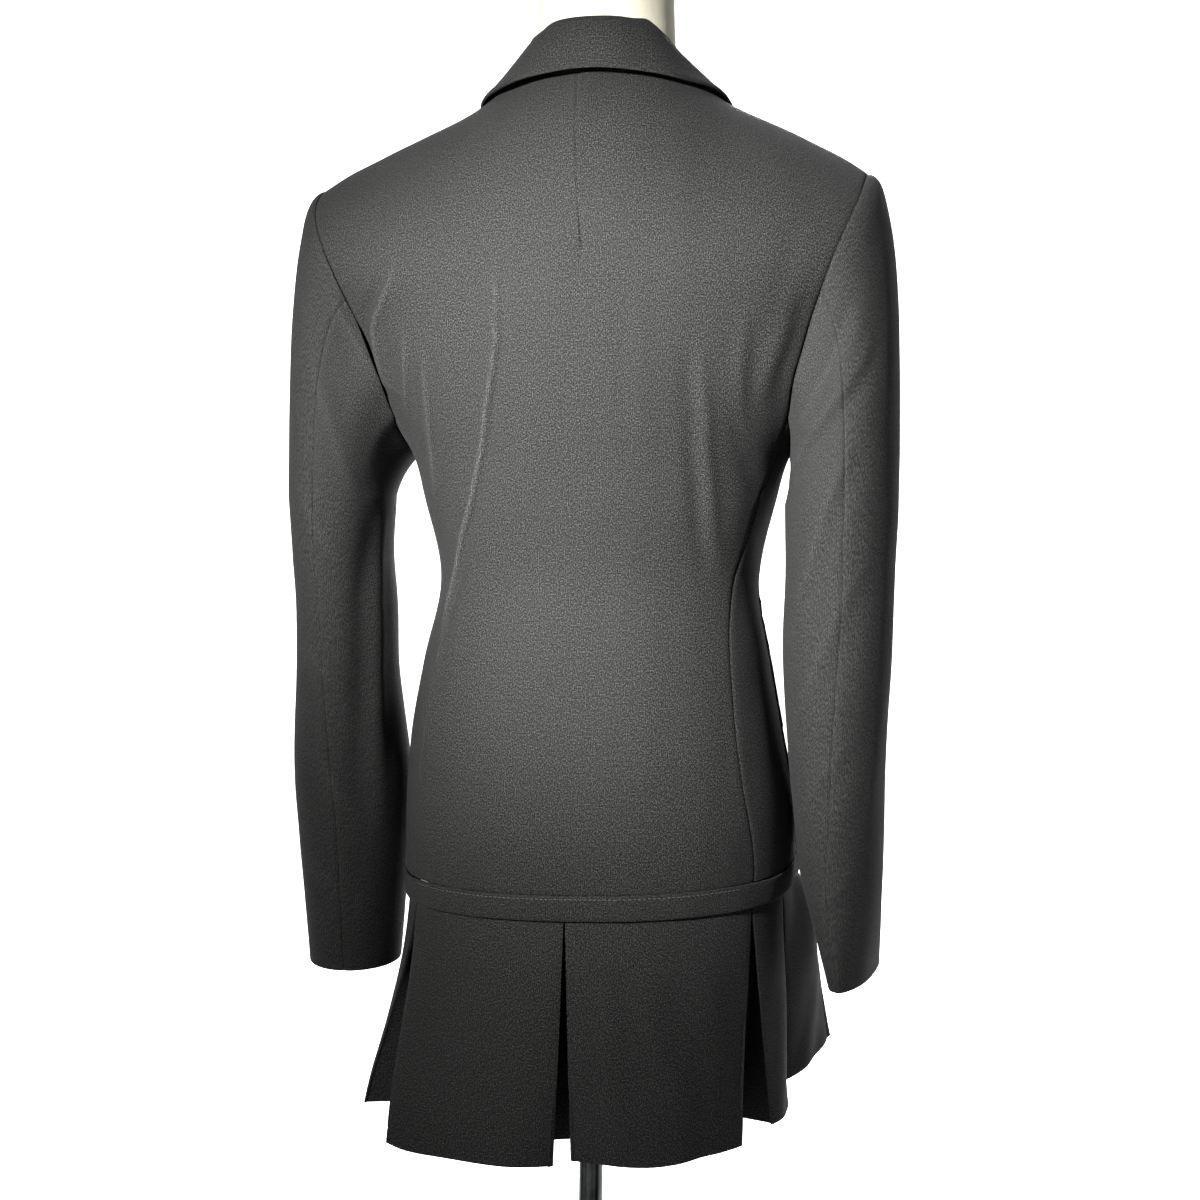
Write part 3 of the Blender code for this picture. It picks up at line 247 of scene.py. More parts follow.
# Dress form sections below the shoulders: half width and what its depth is short of
# the jacket's.
FORM = Table("height half_width short", [
    (0.745, 0.1000, 0.034),
    (0.752, 0.1080, 0.028),
    (0.790, 0.1270, 0.015),
    (0.850, 0.1380, 0.010),
    (0.937, 0.1320, 0.009),
    (1.059, 0.1120, 0.008),
    (1.120, 0.1230, 0.006),
    (1.180, 0.1340, 0.004),
    (1.255, 0.1480, 0.003),
    (1.310, 0.1660, 0.0025),
    (1.345, 0.1740, 0.0022),
    (1.460, 0.1800, 0.0021),
])
# Its neck: half width, back, front and squareness of each section.
FORM_NECK = Table("height half_width back front round", [
    (1.400, 0.1050, 0.0730, 0.0690, 1.60),
    (1.413, 0.0810, 0.0635, 0.0640, 1.70),
    (1.426, 0.0615, 0.0540, 0.0590, 1.85),
    (1.440, 0.0535, 0.0500, 0.0560, 2.00),
    (1.460, 0.0515, 0.0490, 0.0550, 2.00),
    (1.535, 0.0500, 0.0470, 0.0560, 2.00),
])


# ---------------------------------------------------------------- body surface

def over_shoulder(x, z):
    """Share of the full depth: 0 on the shoulder line, 1 below its rounding."""
    x = np.abs(x)
    fall = within((SHOULDER("height", x) - z) / SHOULDER("rounding", x))
    return np.sqrt(1.0 - (1.0 - fall) ** 2)


def depth(face, x, z):
    """How far the body's surface lies behind (or before) the side seams."""
    share = within(np.abs(x) / BODY("half_width", z))
    full = BODY("back" if face > 0 else "front", z)
    return full * (1.0 - share ** ROUNDNESS) ** (1.0 / ROUNDNESS) * over_shoulder(x, z)


def angle_of(x, z):
    """Angle round the section, from the middle, that lies at x."""
    share = within(np.abs(x) / BODY("half_width", z))
    return np.sign(x) * np.arcsin(share ** (ROUNDNESS / 2))


def x_of(angle, z):
    """x of an angle round the section."""
    return BODY("half_width", z) * np.sign(angle) * np.abs(np.sin(angle)) ** (2 / ROUNDNESS)


def shifted(angle, z, face, distance):
    """The angle moved by a distance along the section."""
    small = 1e-3
    ends = [angle - small, angle + small]
    xs = [x_of(end, z) for end in ends]
    ys = [depth(face, x, z) for x in xs]
    length = np.hypot(xs[1] - xs[0], ys[1] - ys[0])
    return angle + distance * 2 * small / np.maximum(length, 1e-6)


def placed(side, face, x, z, lift=0.0):
    """Points on the body at x and z, lifted off it along its outward direction."""
    step = 1e-4
    y = depth(face, x, z)
    slope_x = (depth(face, x + step, z) - depth(face, x - step, z)) / (2 * step)
    slope_z = (depth(face, x, z + step) - depth(face, x, z - step)) / (2 * step)
    length = np.sqrt(1.0 + slope_x ** 2 + slope_z ** 2)
    out_x = x - slope_x / length * lift
    out_y = y + lift / length
    out_z = z - slope_z / length * lift
    return leaned(tilted(side * out_x, face * (out_y + RIDGE_SEAM), out_z))


def eased(share):
    """A share from 0 to 1 that starts and ends gently."""
    share = within(share)
    return share * share * (3 - 2 * share)


def frontness(y):
    """Share of the fronts' swing: 0 at the sides, 1 before them."""
    return eased((FRONT_START - y) / (FRONT_START - FRONT_FULL))


def leaned(points):
    """The hips: moved and raised to the wearer's right, dying out at waist and hem."""
    x = points[..., 0]
    y = points[..., 1]
    z = points[..., 2]
    part = eased((HIP_TOP - z) / (HIP_TOP - BODY_BOTTOM - 0.012))
    part = part * eased((z - HEM_HEIGHT) / (BAND_BOTTOM - 0.02 - HEM_HEIGHT))
    swing = within(-x / (0.9 * HIP_HALF)) ** 2 * frontness(y)
    shift = np.where(x < 0, *HIP_SHIFT)
    move = shift * np.minimum((x / HIP_HALF) ** 2, 1.2) + HIP_SWING * swing
    return np.stack((x - part * move, y, z - part * HIP_TILT * x), axis=-1)


def tilted(x, y, z):
    """World points, with the right shoulder a little higher than the left."""
    rise = eased((z - TILT_START) / TILT_SPAN)
    shift = SHOULDER_SHIFT * rise * within(np.abs(x) / TIP_X) ** 2
    return np.stack(np.broadcast_arrays(x + shift, y, z - SHOULDER_TILT * x * rise), axis=-1)


# ---------------------------------------------------------------- cut pieces

def neckline_height(x):
    """Height of the back neck at x, where it is cut off below the shoulder line."""
    x = np.abs(x)
    ridge = SHOULDER("height", x)
    rounding = SHOULDER("rounding", x)
    neck_y = NECK_BACK * np.sqrt(within(1.0 - (x / NECK_X) ** 2))
    full = depth(1, np.minimum(x, NECK_X), ridge - rounding)
    return ridge - rounding * (1.0 - np.sqrt(1.0 - within(neck_y / full) ** 2))


def column_height(x_top, level, bottom, top):
    """Height on a column: levels 0 to 1 climb to the rounding, 1 to 2 go over it."""
    ridge = SHOULDER("height", x_top)
    rounding = SHOULDER("rounding", x_top)
    end = np.arcsin(np.sqrt(within(1 - (1 - (ridge - top) / rounding) ** 2)))
    swing = np.pi / 2 - (np.clip(level, 1, 2) - 1) * (np.pi / 2 - end)
    over = ridge - rounding * (1 - np.cos(swing))
    below = bottom + (ridge - rounding - bottom) * level
    return np.where(level <= 1.0, below, over)


def back_points(fraction, level, lift=0.0):
    """The back panel: fraction -1 (right) to 1 (left), level 0 (band) to 2 (neck)."""
    side = np.where(fraction < 0, -1.0, 1.0)
    share = np.abs(fraction)
    tip_angle = angle_of(TIP_X, TIP_HEIGHT)
    x_top = x_of(share * tip_angle, TIP_HEIGHT)
    edge = column_height(TIP_X, level, BODY_BOTTOM, TIP_HEIGHT)
    z = column_height(x_top, level, BODY_BOTTOM, neckline_height(x_top))
    limit = angle_of(BACK_EDGE("x", edge), edge)
    limit = shifted(limit, edge, 1, -SEAM * 0.12 * (edge < SIDE_BACK_TOP + 0.001))
    x = x_of(share * limit, edge)
    return placed(side, 1, x, z, lift)


def side_back_points(side, fraction, level, lift=0.0):
    """Side back panel: fraction 0 (side back seam) to 1 (side seam), level 0 to 1."""
    top = UNDERARM_HEIGHT + (SIDE_BACK_TOP - UNDERARM_HEIGHT) * (1 - fraction) ** 2
    z = BODY_BOTTOM + (top - BODY_BOTTOM) * level
    inner = shifted(angle_of(BACK_EDGE("x", z), z), z, 1, SEAM * 0.12)
    x = x_of(inner + (np.pi / 2 - inner) * fraction, z)
    return placed(side, 1, x, z, lift)


def front_edge(z):
    """x of the front's inner edge: straight below the break, then the roll line."""
    climb = within((z - BREAK_HEIGHT) / (SHOULDER("height", NECK_X) - BREAK_HEIGHT))
    return -LAP + (NECK_X + LAP) * climb ** 0.85


def front_points(side, fraction, level, lift=0.0):
    """A front: fraction 0 (middle, roll line) to 1 (side seam, armhole)."""
    tip_angle = angle_of(TIP_X, TIP_HEIGHT)
    neck_angle = angle_of(NECK_X, TIP_HEIGHT)
    x_top = x_of(neck_angle + (tip_angle - neck_angle) * fraction, TIP_HEIGHT)
    inner_z = column_height(NECK_X, level, BODY_BOTTOM, SHOULDER("height", NECK_X))
    outer_z = column_height(TIP_X, level, BODY_BOTTOM, TIP_HEIGHT)
    z = column_height(x_top, level, BODY_BOTTOM, SHOULDER("height", x_top))
    inner = angle_of(front_edge(inner_z), outer_z)
    armhole = angle_of(FRONT_ARMHOLE("x", outer_z), outer_z)
    outer = np.where(outer_z > UNDERARM_HEIGHT, armhole, np.pi / 2)
    x = x_of(inner + (outer - inner) * fraction, outer_z)
    return placed(side, -1, x, z, lift + lap_lift(side, x))


def lap_lift(side, x, lift=LAP_LIFT):
    """The right front rides over the left near the middle."""
    if side > 0:
        return 0.0 * x
    return lift * eased((LAP_FADE - x) / (LAP_FADE - LAP_FULL))


def armhole_points(side, turn):
    """The armhole: turn 0 at the shoulder tip, 90 at the back, 180 under the arm."""
    turn = np.mod(turn, 360.0)
    back = turn <= 180.0
    run = np.where(back, turn, 360.0 - turn)
    z = UNDERARM_HEIGHT + (TIP_HEIGHT - UNDERARM_HEIGHT) * (1 + np.cos(np.radians(run))) / 2
    low = within((z - UNDERARM_HEIGHT) / (SIDE_BACK_TOP - UNDERARM_HEIGHT))
    across = 1.0 - np.sqrt(low)
    seam = angle_of(BACK_EDGE("x", z), z)
    back_angle = seam + (np.pi / 2 - seam) * across
    front_angle = angle_of(np.minimum(FRONT_ARMHOLE("x", z), BODY("half_width", z)), z)
    angle = np.where(back, back_angle, front_angle)
    x = x_of(angle, z)
    y = np.where(back, depth(1, x, z) + RIDGE_SEAM, -depth(-1, x, z) - RIDGE_SEAM)
    return tilted(side * x, y, z)


def sleeve_section(side, turn, z):
    """A level section of the sleeve: turn 0 at its outer side, 90 at its back."""
    table = SLEEVES[side]
    t = np.radians(turn)
    across = (table("across", z) + CLOTH) * np.cos(t)
    along = (table("along", z) + CLOTH) * np.sin(t)
    twist = np.radians(table("twist", z))
    x = table("x", z) + across * np.cos(twist) - along * np.sin(twist)
    y = table("y", z) + across * np.sin(twist) + along * np.cos(twist)
    return tilted(side * x, y, z)


def sleeve_points(side, turn, level):
    """Sleeve: level 0 at the armhole, 1 at the first section, 2 at the cuff."""
    start = armhole_points(side, turn)
    ring = sleeve_section(side, turn, SLEEVE_RING_HEIGHT)
    upness = (0.5 + 0.5 * np.cos(np.radians(turn)))[..., None]
    bend = ring.copy()
    rise = (start[..., 2:] - CAP_DROP - ring[..., 2:]) * (0.85 + 0.15 * upness)
    bend[..., 2:] = ring[..., 2:] + rise
    under = within(-np.cos(np.radians(turn)))
    bend[..., 0] = side * np.maximum(side * bend[..., 0], side * start[..., 0] + 0.004 * under)
    bend[..., 1] += (start[..., 1] - bend[..., 1]) * 0.6 * under
    lead = unit(bend - start)
    away = unit(start * (1.0, 1.6, 0.0))
    room = SEAM * (0.5 + 0.3 * within(0.25 - np.sin(np.radians(turn))))[..., None]
    start = start + unit(lead * upness + away * (1 - upness)) * room
    t = within(level)[..., None]
    cap = (1 - t) ** 2 * start + 2 * t * (1 - t) * bend + t ** 2 * ring
    cuff = SLEEVES[side].rows[0, 0]
    z = SLEEVE_RING_HEIGHT + (cuff - SLEEVE_RING_HEIGHT) * within(level - 1)
    tube = sleeve_section(side, turn, z)
    return np.where((level <= 1.0)[..., None], cap, tube)


def seam_gap(side, turn, level):
    """Degrees of turn that leave half a seam's space at the sleeve's wall."""
    z = SLEEVE_RING_HEIGHT + (SLEEVES[side].rows[0, 0] - SLEEVE_RING_HEIGHT) * (level - 1)
    t = np.radians(turn)
    across = SLEEVES[side]("across", z) * np.sin(t)
    along = SLEEVES[side]("along", z) * np.cos(t)
    speed = np.hypot(across, along)
    sharp = SLEEVES[side]("along", z) / SLEEVES[side]("across", z)
    return np.degrees(SEAM * (1.2 + 0.5 * sharp) / speed)


def seam_turn(level):
    """The hind seam moves round to the back of the arm towards the cuff."""
    return HIND_SEAM + 12.0 * np.clip(level - 1.2, 0, 0.8) / 0.8


# ---------------------------------------------------------------- pleated part

def band_point(angle_deg, inset):
    """A point on the band's line, as x, y, with x signed like the angle."""
    angle = math.radians(angle_deg)
    face = 1 if abs(angle_deg) <= 90 else -1
    folded = angle if face > 0 else math.copysign(math.pi, angle) - angle
    x = float(x_of(folded, BAND_BOTTOM))
    y = face * float(depth(face, x, BAND_BOTTOM))
    nx, ny = band_normal(x, y, face)
    return np.array((x - nx * inset, y - ny * inset))


def band_normal(x, y, face):
    """Outward direction on the band's section."""
    half = float(BODY("half_width", BAND_BOTTOM))
    deep = float(BODY("back" if face > 0 else "front", BAND_BOTTOM))
    nx = math.copysign(abs(x / half) ** (ROUNDNESS - 1) / half, x)
    ny = math.copysign(abs(y / deep) ** (ROUNDNESS - 1) / deep, y)
    length = math.hypot(nx, ny)
    return nx / length, ny / length


def moved_round(angle_deg, distance):
    """The angle at the band that lies a distance further round."""
    step = 0.5
    ahead = band_point(angle_deg + step, 0.0)
    behind = band_point(angle_deg - step, 0.0)
    return angle_deg + distance * 2 * step / np.linalg.norm(ahead - behind)


def panel_run(side, panel, count):
    """A panel's points at the band and at the hem, from its start to its end."""
    start = panel.start
    end = panel.end
    a = np.array(panel.hem_start)
    b = np.array(panel.hem_end)
    reach = 1.0
    if end >= 180.0:
        end = 180.0 + math.degrees(LAP / float(BODY("half_width", BAND_BOTTOM)))
        reach = (a[0] + LAP) / (a[0] - b[0])
    else:
        end = moved_round(end, -PLEAT_PARTING)
    start = moved_round(start, PLEAT_PARTING)
    top = []
    hem = []
    for u in np.linspace(0, 1, count):
        angle = start + (end - start) * u
        lift = lap_lift(side, band_point(angle, 0.0)[0], SKIRT_LAP_LIFT) if angle > 90 else 0
        top.append(band_point(angle, PLEAT_INSET - lift))
        hem.append(hem_curve(a, b, u * reach, panel.bow))
    return top, hem


def hem_curve(a, b, u, bow):
    """The hem between two corners, bowed out as the panel rounds the body."""
    chord = b[:2] - a[:2]
    normal = np.array((-chord[1], chord[0])) / np.linalg.norm(chord)
    middle = (a[:2] + b[:2]) / 2
    if normal @ middle < 0:
        normal = -normal
    swell = np.linalg.norm(chord) ** 2 / (8 * 0.165) + bow
    point = a + (b - a) * u
    return np.array((*(point[:2] + normal * swell * 4 * u * (1 - u)), point[2]))


def pleat_run(pleat, fold_in, fold_out, steps):
    """An inverted pleat between two panels, at the band and at the hem."""
    angle = pleat.angle
    before = pleat.before
    after = pleat.after
    top = []
    hem = []
    a = fold_in[:2]
    b = fold_out[:2]
    middle = (a + b) / 2
    normal = np.array(band_normal(*band_point(angle, 0.0), 1 if angle <= 90 else -1))
    if angle > 90:
        normal = middle / np.linalg.norm(middle)
    along = np.array((normal[1], -normal[0]))
    corner_in = middle - normal * pleat.depth - along * before * 0.9
    corner_out = middle - normal * pleat.depth + along * after * 0.9
    rise = (fold_in[2] + fold_out[2]) / 2
    layers = [PLEAT_INSET + PLEAT_LAYER * k for k in (1, 2)]

    def add(turn, inset, point, lift):
        top.append(band_point(turn, inset))
        hem.append(np.array((*point, lift)))

    inner = unit(corner_in - a)
    for u in np.linspace(0, 1, steps):
        turn = moved_round(angle, -PLEAT_PARTING - (before - PLEAT_PARTING) * u)
        point = a - turned(inner) * PLEAT_LAYER * (1 - u) + (corner_in - a) * u
        add(turn, layers[0], point, fold_in[2] * (1 - u) + rise * u)
    spread = unit(corner_out - corner_in)
    for u in np.linspace(0, 1, steps + 1):
        turn = moved_round(angle, -before + (before + after) * u)
        shift = -normal * (PLEAT_LAYER + 0.004 * 4 * u * (1 - u))
        point = corner_in + spread * np.linalg.norm(corner_out - corner_in) * u + shift
        add(turn, layers[1], point, rise)
    outer = unit(b - corner_out)
    for u in np.linspace(0, 1, steps):
        turn = moved_round(angle, PLEAT_PARTING + (after - PLEAT_PARTING) * (1 - u))
        point = corner_out + (b - corner_out) * u - turned(outer) * PLEAT_LAYER * u
        add(turn, layers[0], point, rise * (1 - u) + fold_out[2] * u)
    return top, hem


def unit(vector):
    return vector / np.linalg.norm(vector, axis=-1, keepdims=True)


def turned(vector):
    """A quarter turn to the left."""
    return np.array((-vector[1], vector[0]))


def skirt_side(side, panel_count, pleat_steps):
    """Half of the pleated part, from the middle back to the front edge."""
    panels = PANELS[side]
    other = PANELS[-side]
    top = []
    hem = []
    mirrored = np.array(other[0].hem_start) * (-1, 1, 1)
    first_top, first_hem = pleat_run(PLEATS[0], mirrored, np.array(panels[0].hem_start), pleat_steps)
    half = pleat_steps + (pleat_steps + 1) // 2
    top += first_top[half:]
    hem += first_hem[half:]
    marks = []
    for k, panel in enumerate(panels):
        run_top, run_hem = panel_run(side, panel, panel_count)
        top += run_top
        hem += run_hem
        if k + 1 < len(panels):
            start = len(top) + pleat_steps + (pleat_steps + 1) // 2
            marks.append(start)
            fold_top, fold_hem = pleat_run(PLEATS[k + 1], np.array(panel.hem_end),
                                           np.array(panels[k + 1].hem_start), pleat_steps)
            top += fold_top
            hem += fold_hem
    return np.array(top), np.array(hem), marks


def skirt_rows(side, top, hem, levels):
    """Rows of the pleated part from under the band down to the hem."""
    power = 1.1 - FLARE_EARLY * (side < 0) * frontness(hem[:, 1])
    rows = []
    for level in levels:
        flare = max(0.0, (level - UNDER_BAND) / (1 - UNDER_BAND)) ** power
        plan = top + (hem[:, :2] - top) * flare[:, None]
        z = SKIRT_TOP + (HEM_HEIGHT + hem[:, 2] - SKIRT_TOP) * level
        rows.append(np.stack((side * plan[:, 0], plan[:, 1], z), axis=-1))
    return leaned(np.array(rows))


# ---------------------------------------------------------------- collar, lapels

def collar_line(name, at):
    """One of the collar's named lines, read as a smooth curve along its stations."""
    rows = [(station.share, *getattr(station, name)) for station in COLLAR]
    share, x, y, z = rows[1]
    line = Table("share x y z", rows + [(-share, -x, y, z)])
    return np.stack([line(axis, at) for axis in "xyz"], axis=-1)


def collar_points(along, across):
    """Collar: along -1 (right end) to 1 (left end), across 0 (neck) to 1 (edge)."""
    share = np.abs(along)
    side = np.where(along < 0, -1.0, 1.0)
    seam = collar_line("seam", share)
    roll = collar_line("roll", share)
    roll[..., 2] -= side * COLLAR_SKEW * np.exp(-((share - 0.29) / 0.07) ** 2)
    edge = collar_line("edge", share)
    stand = within(across / 0.4)[..., None]
    fall = within((across - 0.4) / 0.6)[..., None]
    out = edge - roll
    level_out = unit(out * (1.0, 1.0, 0.0))
    swell = ROLL_WIDTH * (1 - 0.6 * share[..., None]) * np.sin(np.pi * fall ** 0.6)
    point = np.where(fall > 0, roll + out * fall + level_out * swell,
                     seam + (roll - seam) * stand)
    x, y, z = point[..., 0], point[..., 1], point[..., 2]
    x, y, z = laid_over(x, y, z, COLLAR_LIFT * within((across - 0.4) / 0.2))
    return tilted(side * x, y, z)


def laid_over(x, y, z, gap):
    """Moves a point out of the body's surface until it clears it by the gap."""
    face = np.where(y < 0, -1, 1)
    full = np.where(face > 0, BODY("back", z), BODY("front", z))
    share = within(np.abs(y) / full)
    ridge = SHOULDER("height", x)
    roof = ridge - SHOULDER("rounding", x) * (1 - np.sqrt(1 - share ** 2))
    wall = np.where(face > 0, depth(1, x, z), depth(-1, x, z))
    steep = within((share - 0.55) / 0.2)
    z = np.where(gap > 0, np.maximum(z, z * steep + (roof + gap * 1.1) * (1 - steep)), z)
    out = np.maximum(np.abs(y), wall + gap * 1.35) * face
    y = np.where((gap > 0) & (steep > 0), y * (1 - steep) + out * steep, y)
    return x, y, z


def lapel_points(side, along, across):
    """Lapel on the chest: along 0 (break) to 1 (gorge), across 0 (roll) to 1 (edge)."""
    low = BREAK_HEIGHT + 0.004 if side < 0 else LEFT_BREAK_HEIGHT
    z_in = low + (LAPEL_GORGE - low) * along
    width = LAPEL_WIDTH * np.sin(within(along) * 1.5) ** 0.8
    x = front_edge(z_in) + 0.0012 + width * across
    z = z_in - (LAPEL_GORGE - LAPEL_TOP) * across * along
    lift = LAPEL_LIFT + 0.0012 * np.sin(np.pi * within(across))
    return placed(side, -1, x, z, lift + lap_lift(side, x))


def grid_mesh(name, points, flip=False):
    """A sheet of quads through rows of points."""
    rows, columns = points.shape[:2]
    mesh = bpy.data.meshes.new(name)
    faces = []
    for r in range(rows - 1):
        for c in range(columns - 1):
            d = c + 1
            face = (r * columns + c, r * columns + d, (r + 1) * columns + d,
                    (r + 1) * columns + c)
            faces.append(face[::-1] if flip else face)
    mesh.from_pydata([tuple(p) for p in points.reshape(-1, 3)], [], faces)
    mesh.update()
    return mesh


def cut_ends(rows):
    """Takes a seam's width off both ends of a run of points."""
    for end, inner in ((0, 1), (-1, -2)):
        rows[:, end] += unit(rows[:, inner] - rows[:, end]) * SEAM


def form_section(turns, z):
    """A level section of the form, inside the jacket and just under its shoulders."""
    outline = np.linspace(0.0, TIP_X, 60)
    room = outline[SHOULDER("height", outline) - FORM_DROP > z]
    half = min(float(FORM("half_width", z)), room.max())
    x = half * np.sin(turns)
    face = np.where(np.cos(turns) >= 0, 1, -1)
    share = within(np.abs(x) / max(half, float(FORM("half_width", z))))
    full = np.where(face > 0, BODY("back", z), BODY("front", z)) - FORM("short", z)
    y = full * (1 - share ** 2.1) ** (1 / 2.1) * over_shoulder(x, z + FORM_DROP)
    return tilted(x, face * y, z)


def neck_section(turns, z):
    """A section of the neck and its root."""
    power = 2.0 / FORM_NECK("round", z)
    face = np.where(np.cos(turns) >= 0, 1, -1)
    x = FORM_NECK("half_width", z) * np.sign(np.sin(turns)) * np.abs(np.sin(turns)) ** power
    full = np.where(face > 0, FORM_NECK("back", z), FORM_NECK("front", z))
    y = full * np.abs(np.cos(turns)) ** power
    return tilted(x, face * y, z)


# Level of the underarm on a body panel; level 1 is where the shoulder starts to round.
DOME_START = 1.255
UNDERARM_LEVEL = (UNDERARM_HEIGHT - BODY_BOTTOM) / (DOME_START - BODY_BOTTOM)
# Buttons: level on the front and how far each stands off it.
BUTTONS = ((UNDERARM_LEVEL, 0.0004), (0.51, 0.0008), (0.295, 0.0005))


# ---------------------------------------------------------------- materials

MIX_FACTOR, MIX_A, MIX_B, MIX_COLOUR = 0, 6, 7, 2     # a colour Mix node's sockets


class Look:
    """A node tree in the making: short calls that add its nodes and join them."""

    def __init__(self, owner):
        owner.use_nodes = True
        self.owner = owner
        self.nodes = owner.node_tree.nodes
        self.links = owner.node_tree.links

    def feed(self, node, inputs):
        """Sets a node's inputs to plain values, or joins other nodes' outputs to them."""
        for name, value in inputs.items():
            if isinstance(value, bpy.types.NodeSocket):
                self.links.new(value, node.inputs[name])
            else:
                node.inputs[name].default_value = value

    def add(self, kind, inputs=None, **settings):
        node = self.nodes.new("ShaderNode" + kind)
        for name, value in settings.items():
            setattr(node, name, value)
        self.feed(node, inputs or {})
        return node

    def cloth_metres(self):
        """Places on a sheet in metres along its weave."""
        return self.add("UVMap", uv_map="cloth").outputs["UV"]

    def places(self, kind="Object"):
        return self.add("TexCoord").outputs[kind]

    def parts(self, vector):
        return self.add("SeparateXYZ", {"Vector": vector}).outputs

    def ramp(self, source, *stops):
        """A colour ramp with stops of (place, grey or colour)."""
        node = self.add("ValToRGB", {"Fac": source})
        while len(node.color_ramp.elements) < len(stops):
            node.color_ramp.elements.new(0.5)
        for element, (place, colour) in zip(node.color_ramp.elements, stops):
            element.position = place
            element.color = (*colour, 1.0) if isinstance(colour, tuple) else (*[colour] * 3, 1.0)
        return node.outputs["Color"]

    def grain(self, coords, scale, stretch, detail=2.0, rough=0.6):
        """Noise, a scale of waves to the metre across and stretched along the grain."""
        scales = (scale, scale / stretch, scale)
        mapped = self.add("Mapping", {"Vector": coords, "Scale": scales}).outputs["Vector"]
        noise = self.add("TexNoise", {"Vector": mapped, "Scale": 1.0, "Detail": detail,
                                      "Roughness": rough})
        return noise.outputs["Fac"]

    def wave(self, coords, scale, direction, distortion):
        bands = self.add("TexWave", {"Vector": coords, "Scale": scale, "Detail": 1.0,
                                     "Distortion": distortion, "Detail Scale": 0.6},
                         wave_type="BANDS", bands_direction=direction)
        return bands.outputs["Fac"]

    def mixed(self, kind, factor, a, b):
        node = self.add("Mix", data_type="RGBA", blend_type=kind)
        self.feed(node, {MIX_FACTOR: factor, MIX_A: a, MIX_B: b})
        return node.outputs[MIX_COLOUR]

    def multiplied(self, colour, *factors):
        """A colour darkened by several others, each (share, colour)."""
        for share, other in factors:
            colour = self.mixed("MULTIPLY", share, colour, other)
        return colour

    def maths(self, operation, a, b=0.0):
        return self.add("Math", {0: a, 1: b}, operation=operation).outputs[0]

    def finished(self, inputs, heights=()):
        """Feeds the material's shader and gives it chained bumps, each (height, strength,
        distance)."""
        shader = self.nodes["Principled BSDF"]
        self.feed(shader, inputs)
        for height, strength, distance in heights:
            before = shader.inputs["Normal"].links
            bump = self.add("Bump", {"Height": height, "Strength": strength,
                                     "Distance": distance})
            if before:
                self.feed(bump, {"Normal": before[0].from_socket})
            self.feed(shader, {"Normal": bump.outputs["Normal"]})
        return self.owner


def wool_material():
    """Fine charcoal worsted: twill weave, lengthways heather, soft nap, a few specks, and highlights
    painted along the crease ridges.
    """
    look = Look(bpy.data.materials.new("charcoal_worsted"))
    coords = look.cloth_metres()
    speckle = look.grain(coords, 1150.0, 1.3, 1.0, 0.7)
    threads = look.grain(coords, 2400.0, 2.5, 1.0)
    streaks = look.grain(coords, 700.0, 9.0, 3.0)
    clouds = look.grain(coords, 14.0, 1.6, 3.0)
    ribs = look.wave(coords, 205.0, "X", 2.2)
    heather = look.ramp(speckle, (0.34, (0.0022, 0.0023, 0.0024)),
                        (0.50, (0.0100, 0.0101, 0.0098)), (0.66, (0.0370, 0.0368, 0.0345)))
    # Painted highlight: a sheet attribute that is above 0 along the crease ridges, where they would
    # catch the light
    painted_ridge_highlight = look.add("Attribute", attribute_name="painted_ridge_highlight").outputs["Fac"]
    colour = look.multiplied(
        heather,
        (0.8, look.ramp(threads, (0.25, 0.45), (0.75, 1.0))),
        (0.6, look.ramp(ribs, (0.1, 0.55), (0.9, 1.0))),
        (0.7, look.ramp(streaks, (0.3, 0.80), (0.7, 1.0))),
        # painted highlight: lightens the colour up to 2.5 times along the crease ridges
        (1.0, look.maths("ADD", look.maths("MULTIPLY", painted_ridge_highlight, 1.5), 1.0)),
        (0.7, look.ramp(clouds, (0.3, 0.84), (0.7, 1.0))))
    specks = look.add("TexVoronoi", {"Vector": coords, "Scale": 55.0, "Randomness": 1.0},
                      feature="F1").outputs["Distance"]
    rare = look.ramp(look.grain(coords, 40.0, 1.0, 0.0), (0.60, 0.0), (0.64, 1.0))
    lint = look.multiplied(look.ramp(specks, (0.0, 1.0), (0.022, 0.0)), (1.0, rare))
    slanted = look.add("Mapping", {"Vector": coords,
                                   "Rotation": (0.0, 0.0, math.radians(63.0))})
    twill = look.wave(slanted.outputs["Vector"], 360.0, "X", 0.6)
    return look.finished(
        {"Base Color": look.mixed("MIX", lint, colour, (0.10, 0.10, 0.097, 1.0)),
         "Roughness": look.ramp(clouds, (0.2, 0.70), (0.8, 0.85)),
         "Specular IOR Level": 0.07, "Sheen Weight": 0.012, "Sheen Roughness": 0.45,
         "Sheen Tint": (0.80, 0.82, 0.88, 1.0)},
        ((twill, 0.35, 0.00012), (threads, 0.55, 0.00016), (speckle, 0.45, 0.0003),
         (clouds, 0.25, 0.0006)))


def linen_material():
    """Cream linen stretched over the form: plain weave with slubs, slightly aged."""
    look = Look(bpy.data.materials.new("cream_linen_cover"))
    coords = look.cloth_metres()
    weave = look.maths("MULTIPLY", look.wave(coords, 620.0, "X", 1.4),
                       look.wave(coords, 620.0, "Y", 1.4))
    slubs = look.grain(coords, 700.0, 0.08, 3.0)
    slubs_up = look.grain(coords, 500.0, 16.0, 3.0)
    stains = look.grain(coords, 9.0, 1.0, 4.0)
    tone = look.multiplied(
        look.ramp(slubs, (0.3, (0.37, 0.35, 0.265)), (0.7, (0.48, 0.46, 0.37))),
        (0.5, look.ramp(slubs_up, (0.3, 0.82), (0.7, 1.0))),
        (0.6, look.ramp(stains, (0.25, (0.80, 0.76, 0.68)), (0.6, 1.0))))
    return look.finished(
        {"Base Color": tone, "Roughness": look.ramp(slubs_up, (0.2, 0.78), (0.8, 0.92)),
         "Specular IOR Level": 0.25},
        ((weave, 0.5, 0.0002), (slubs, 0.35, 0.0002), (slubs_up, 0.3, 0.0002)))


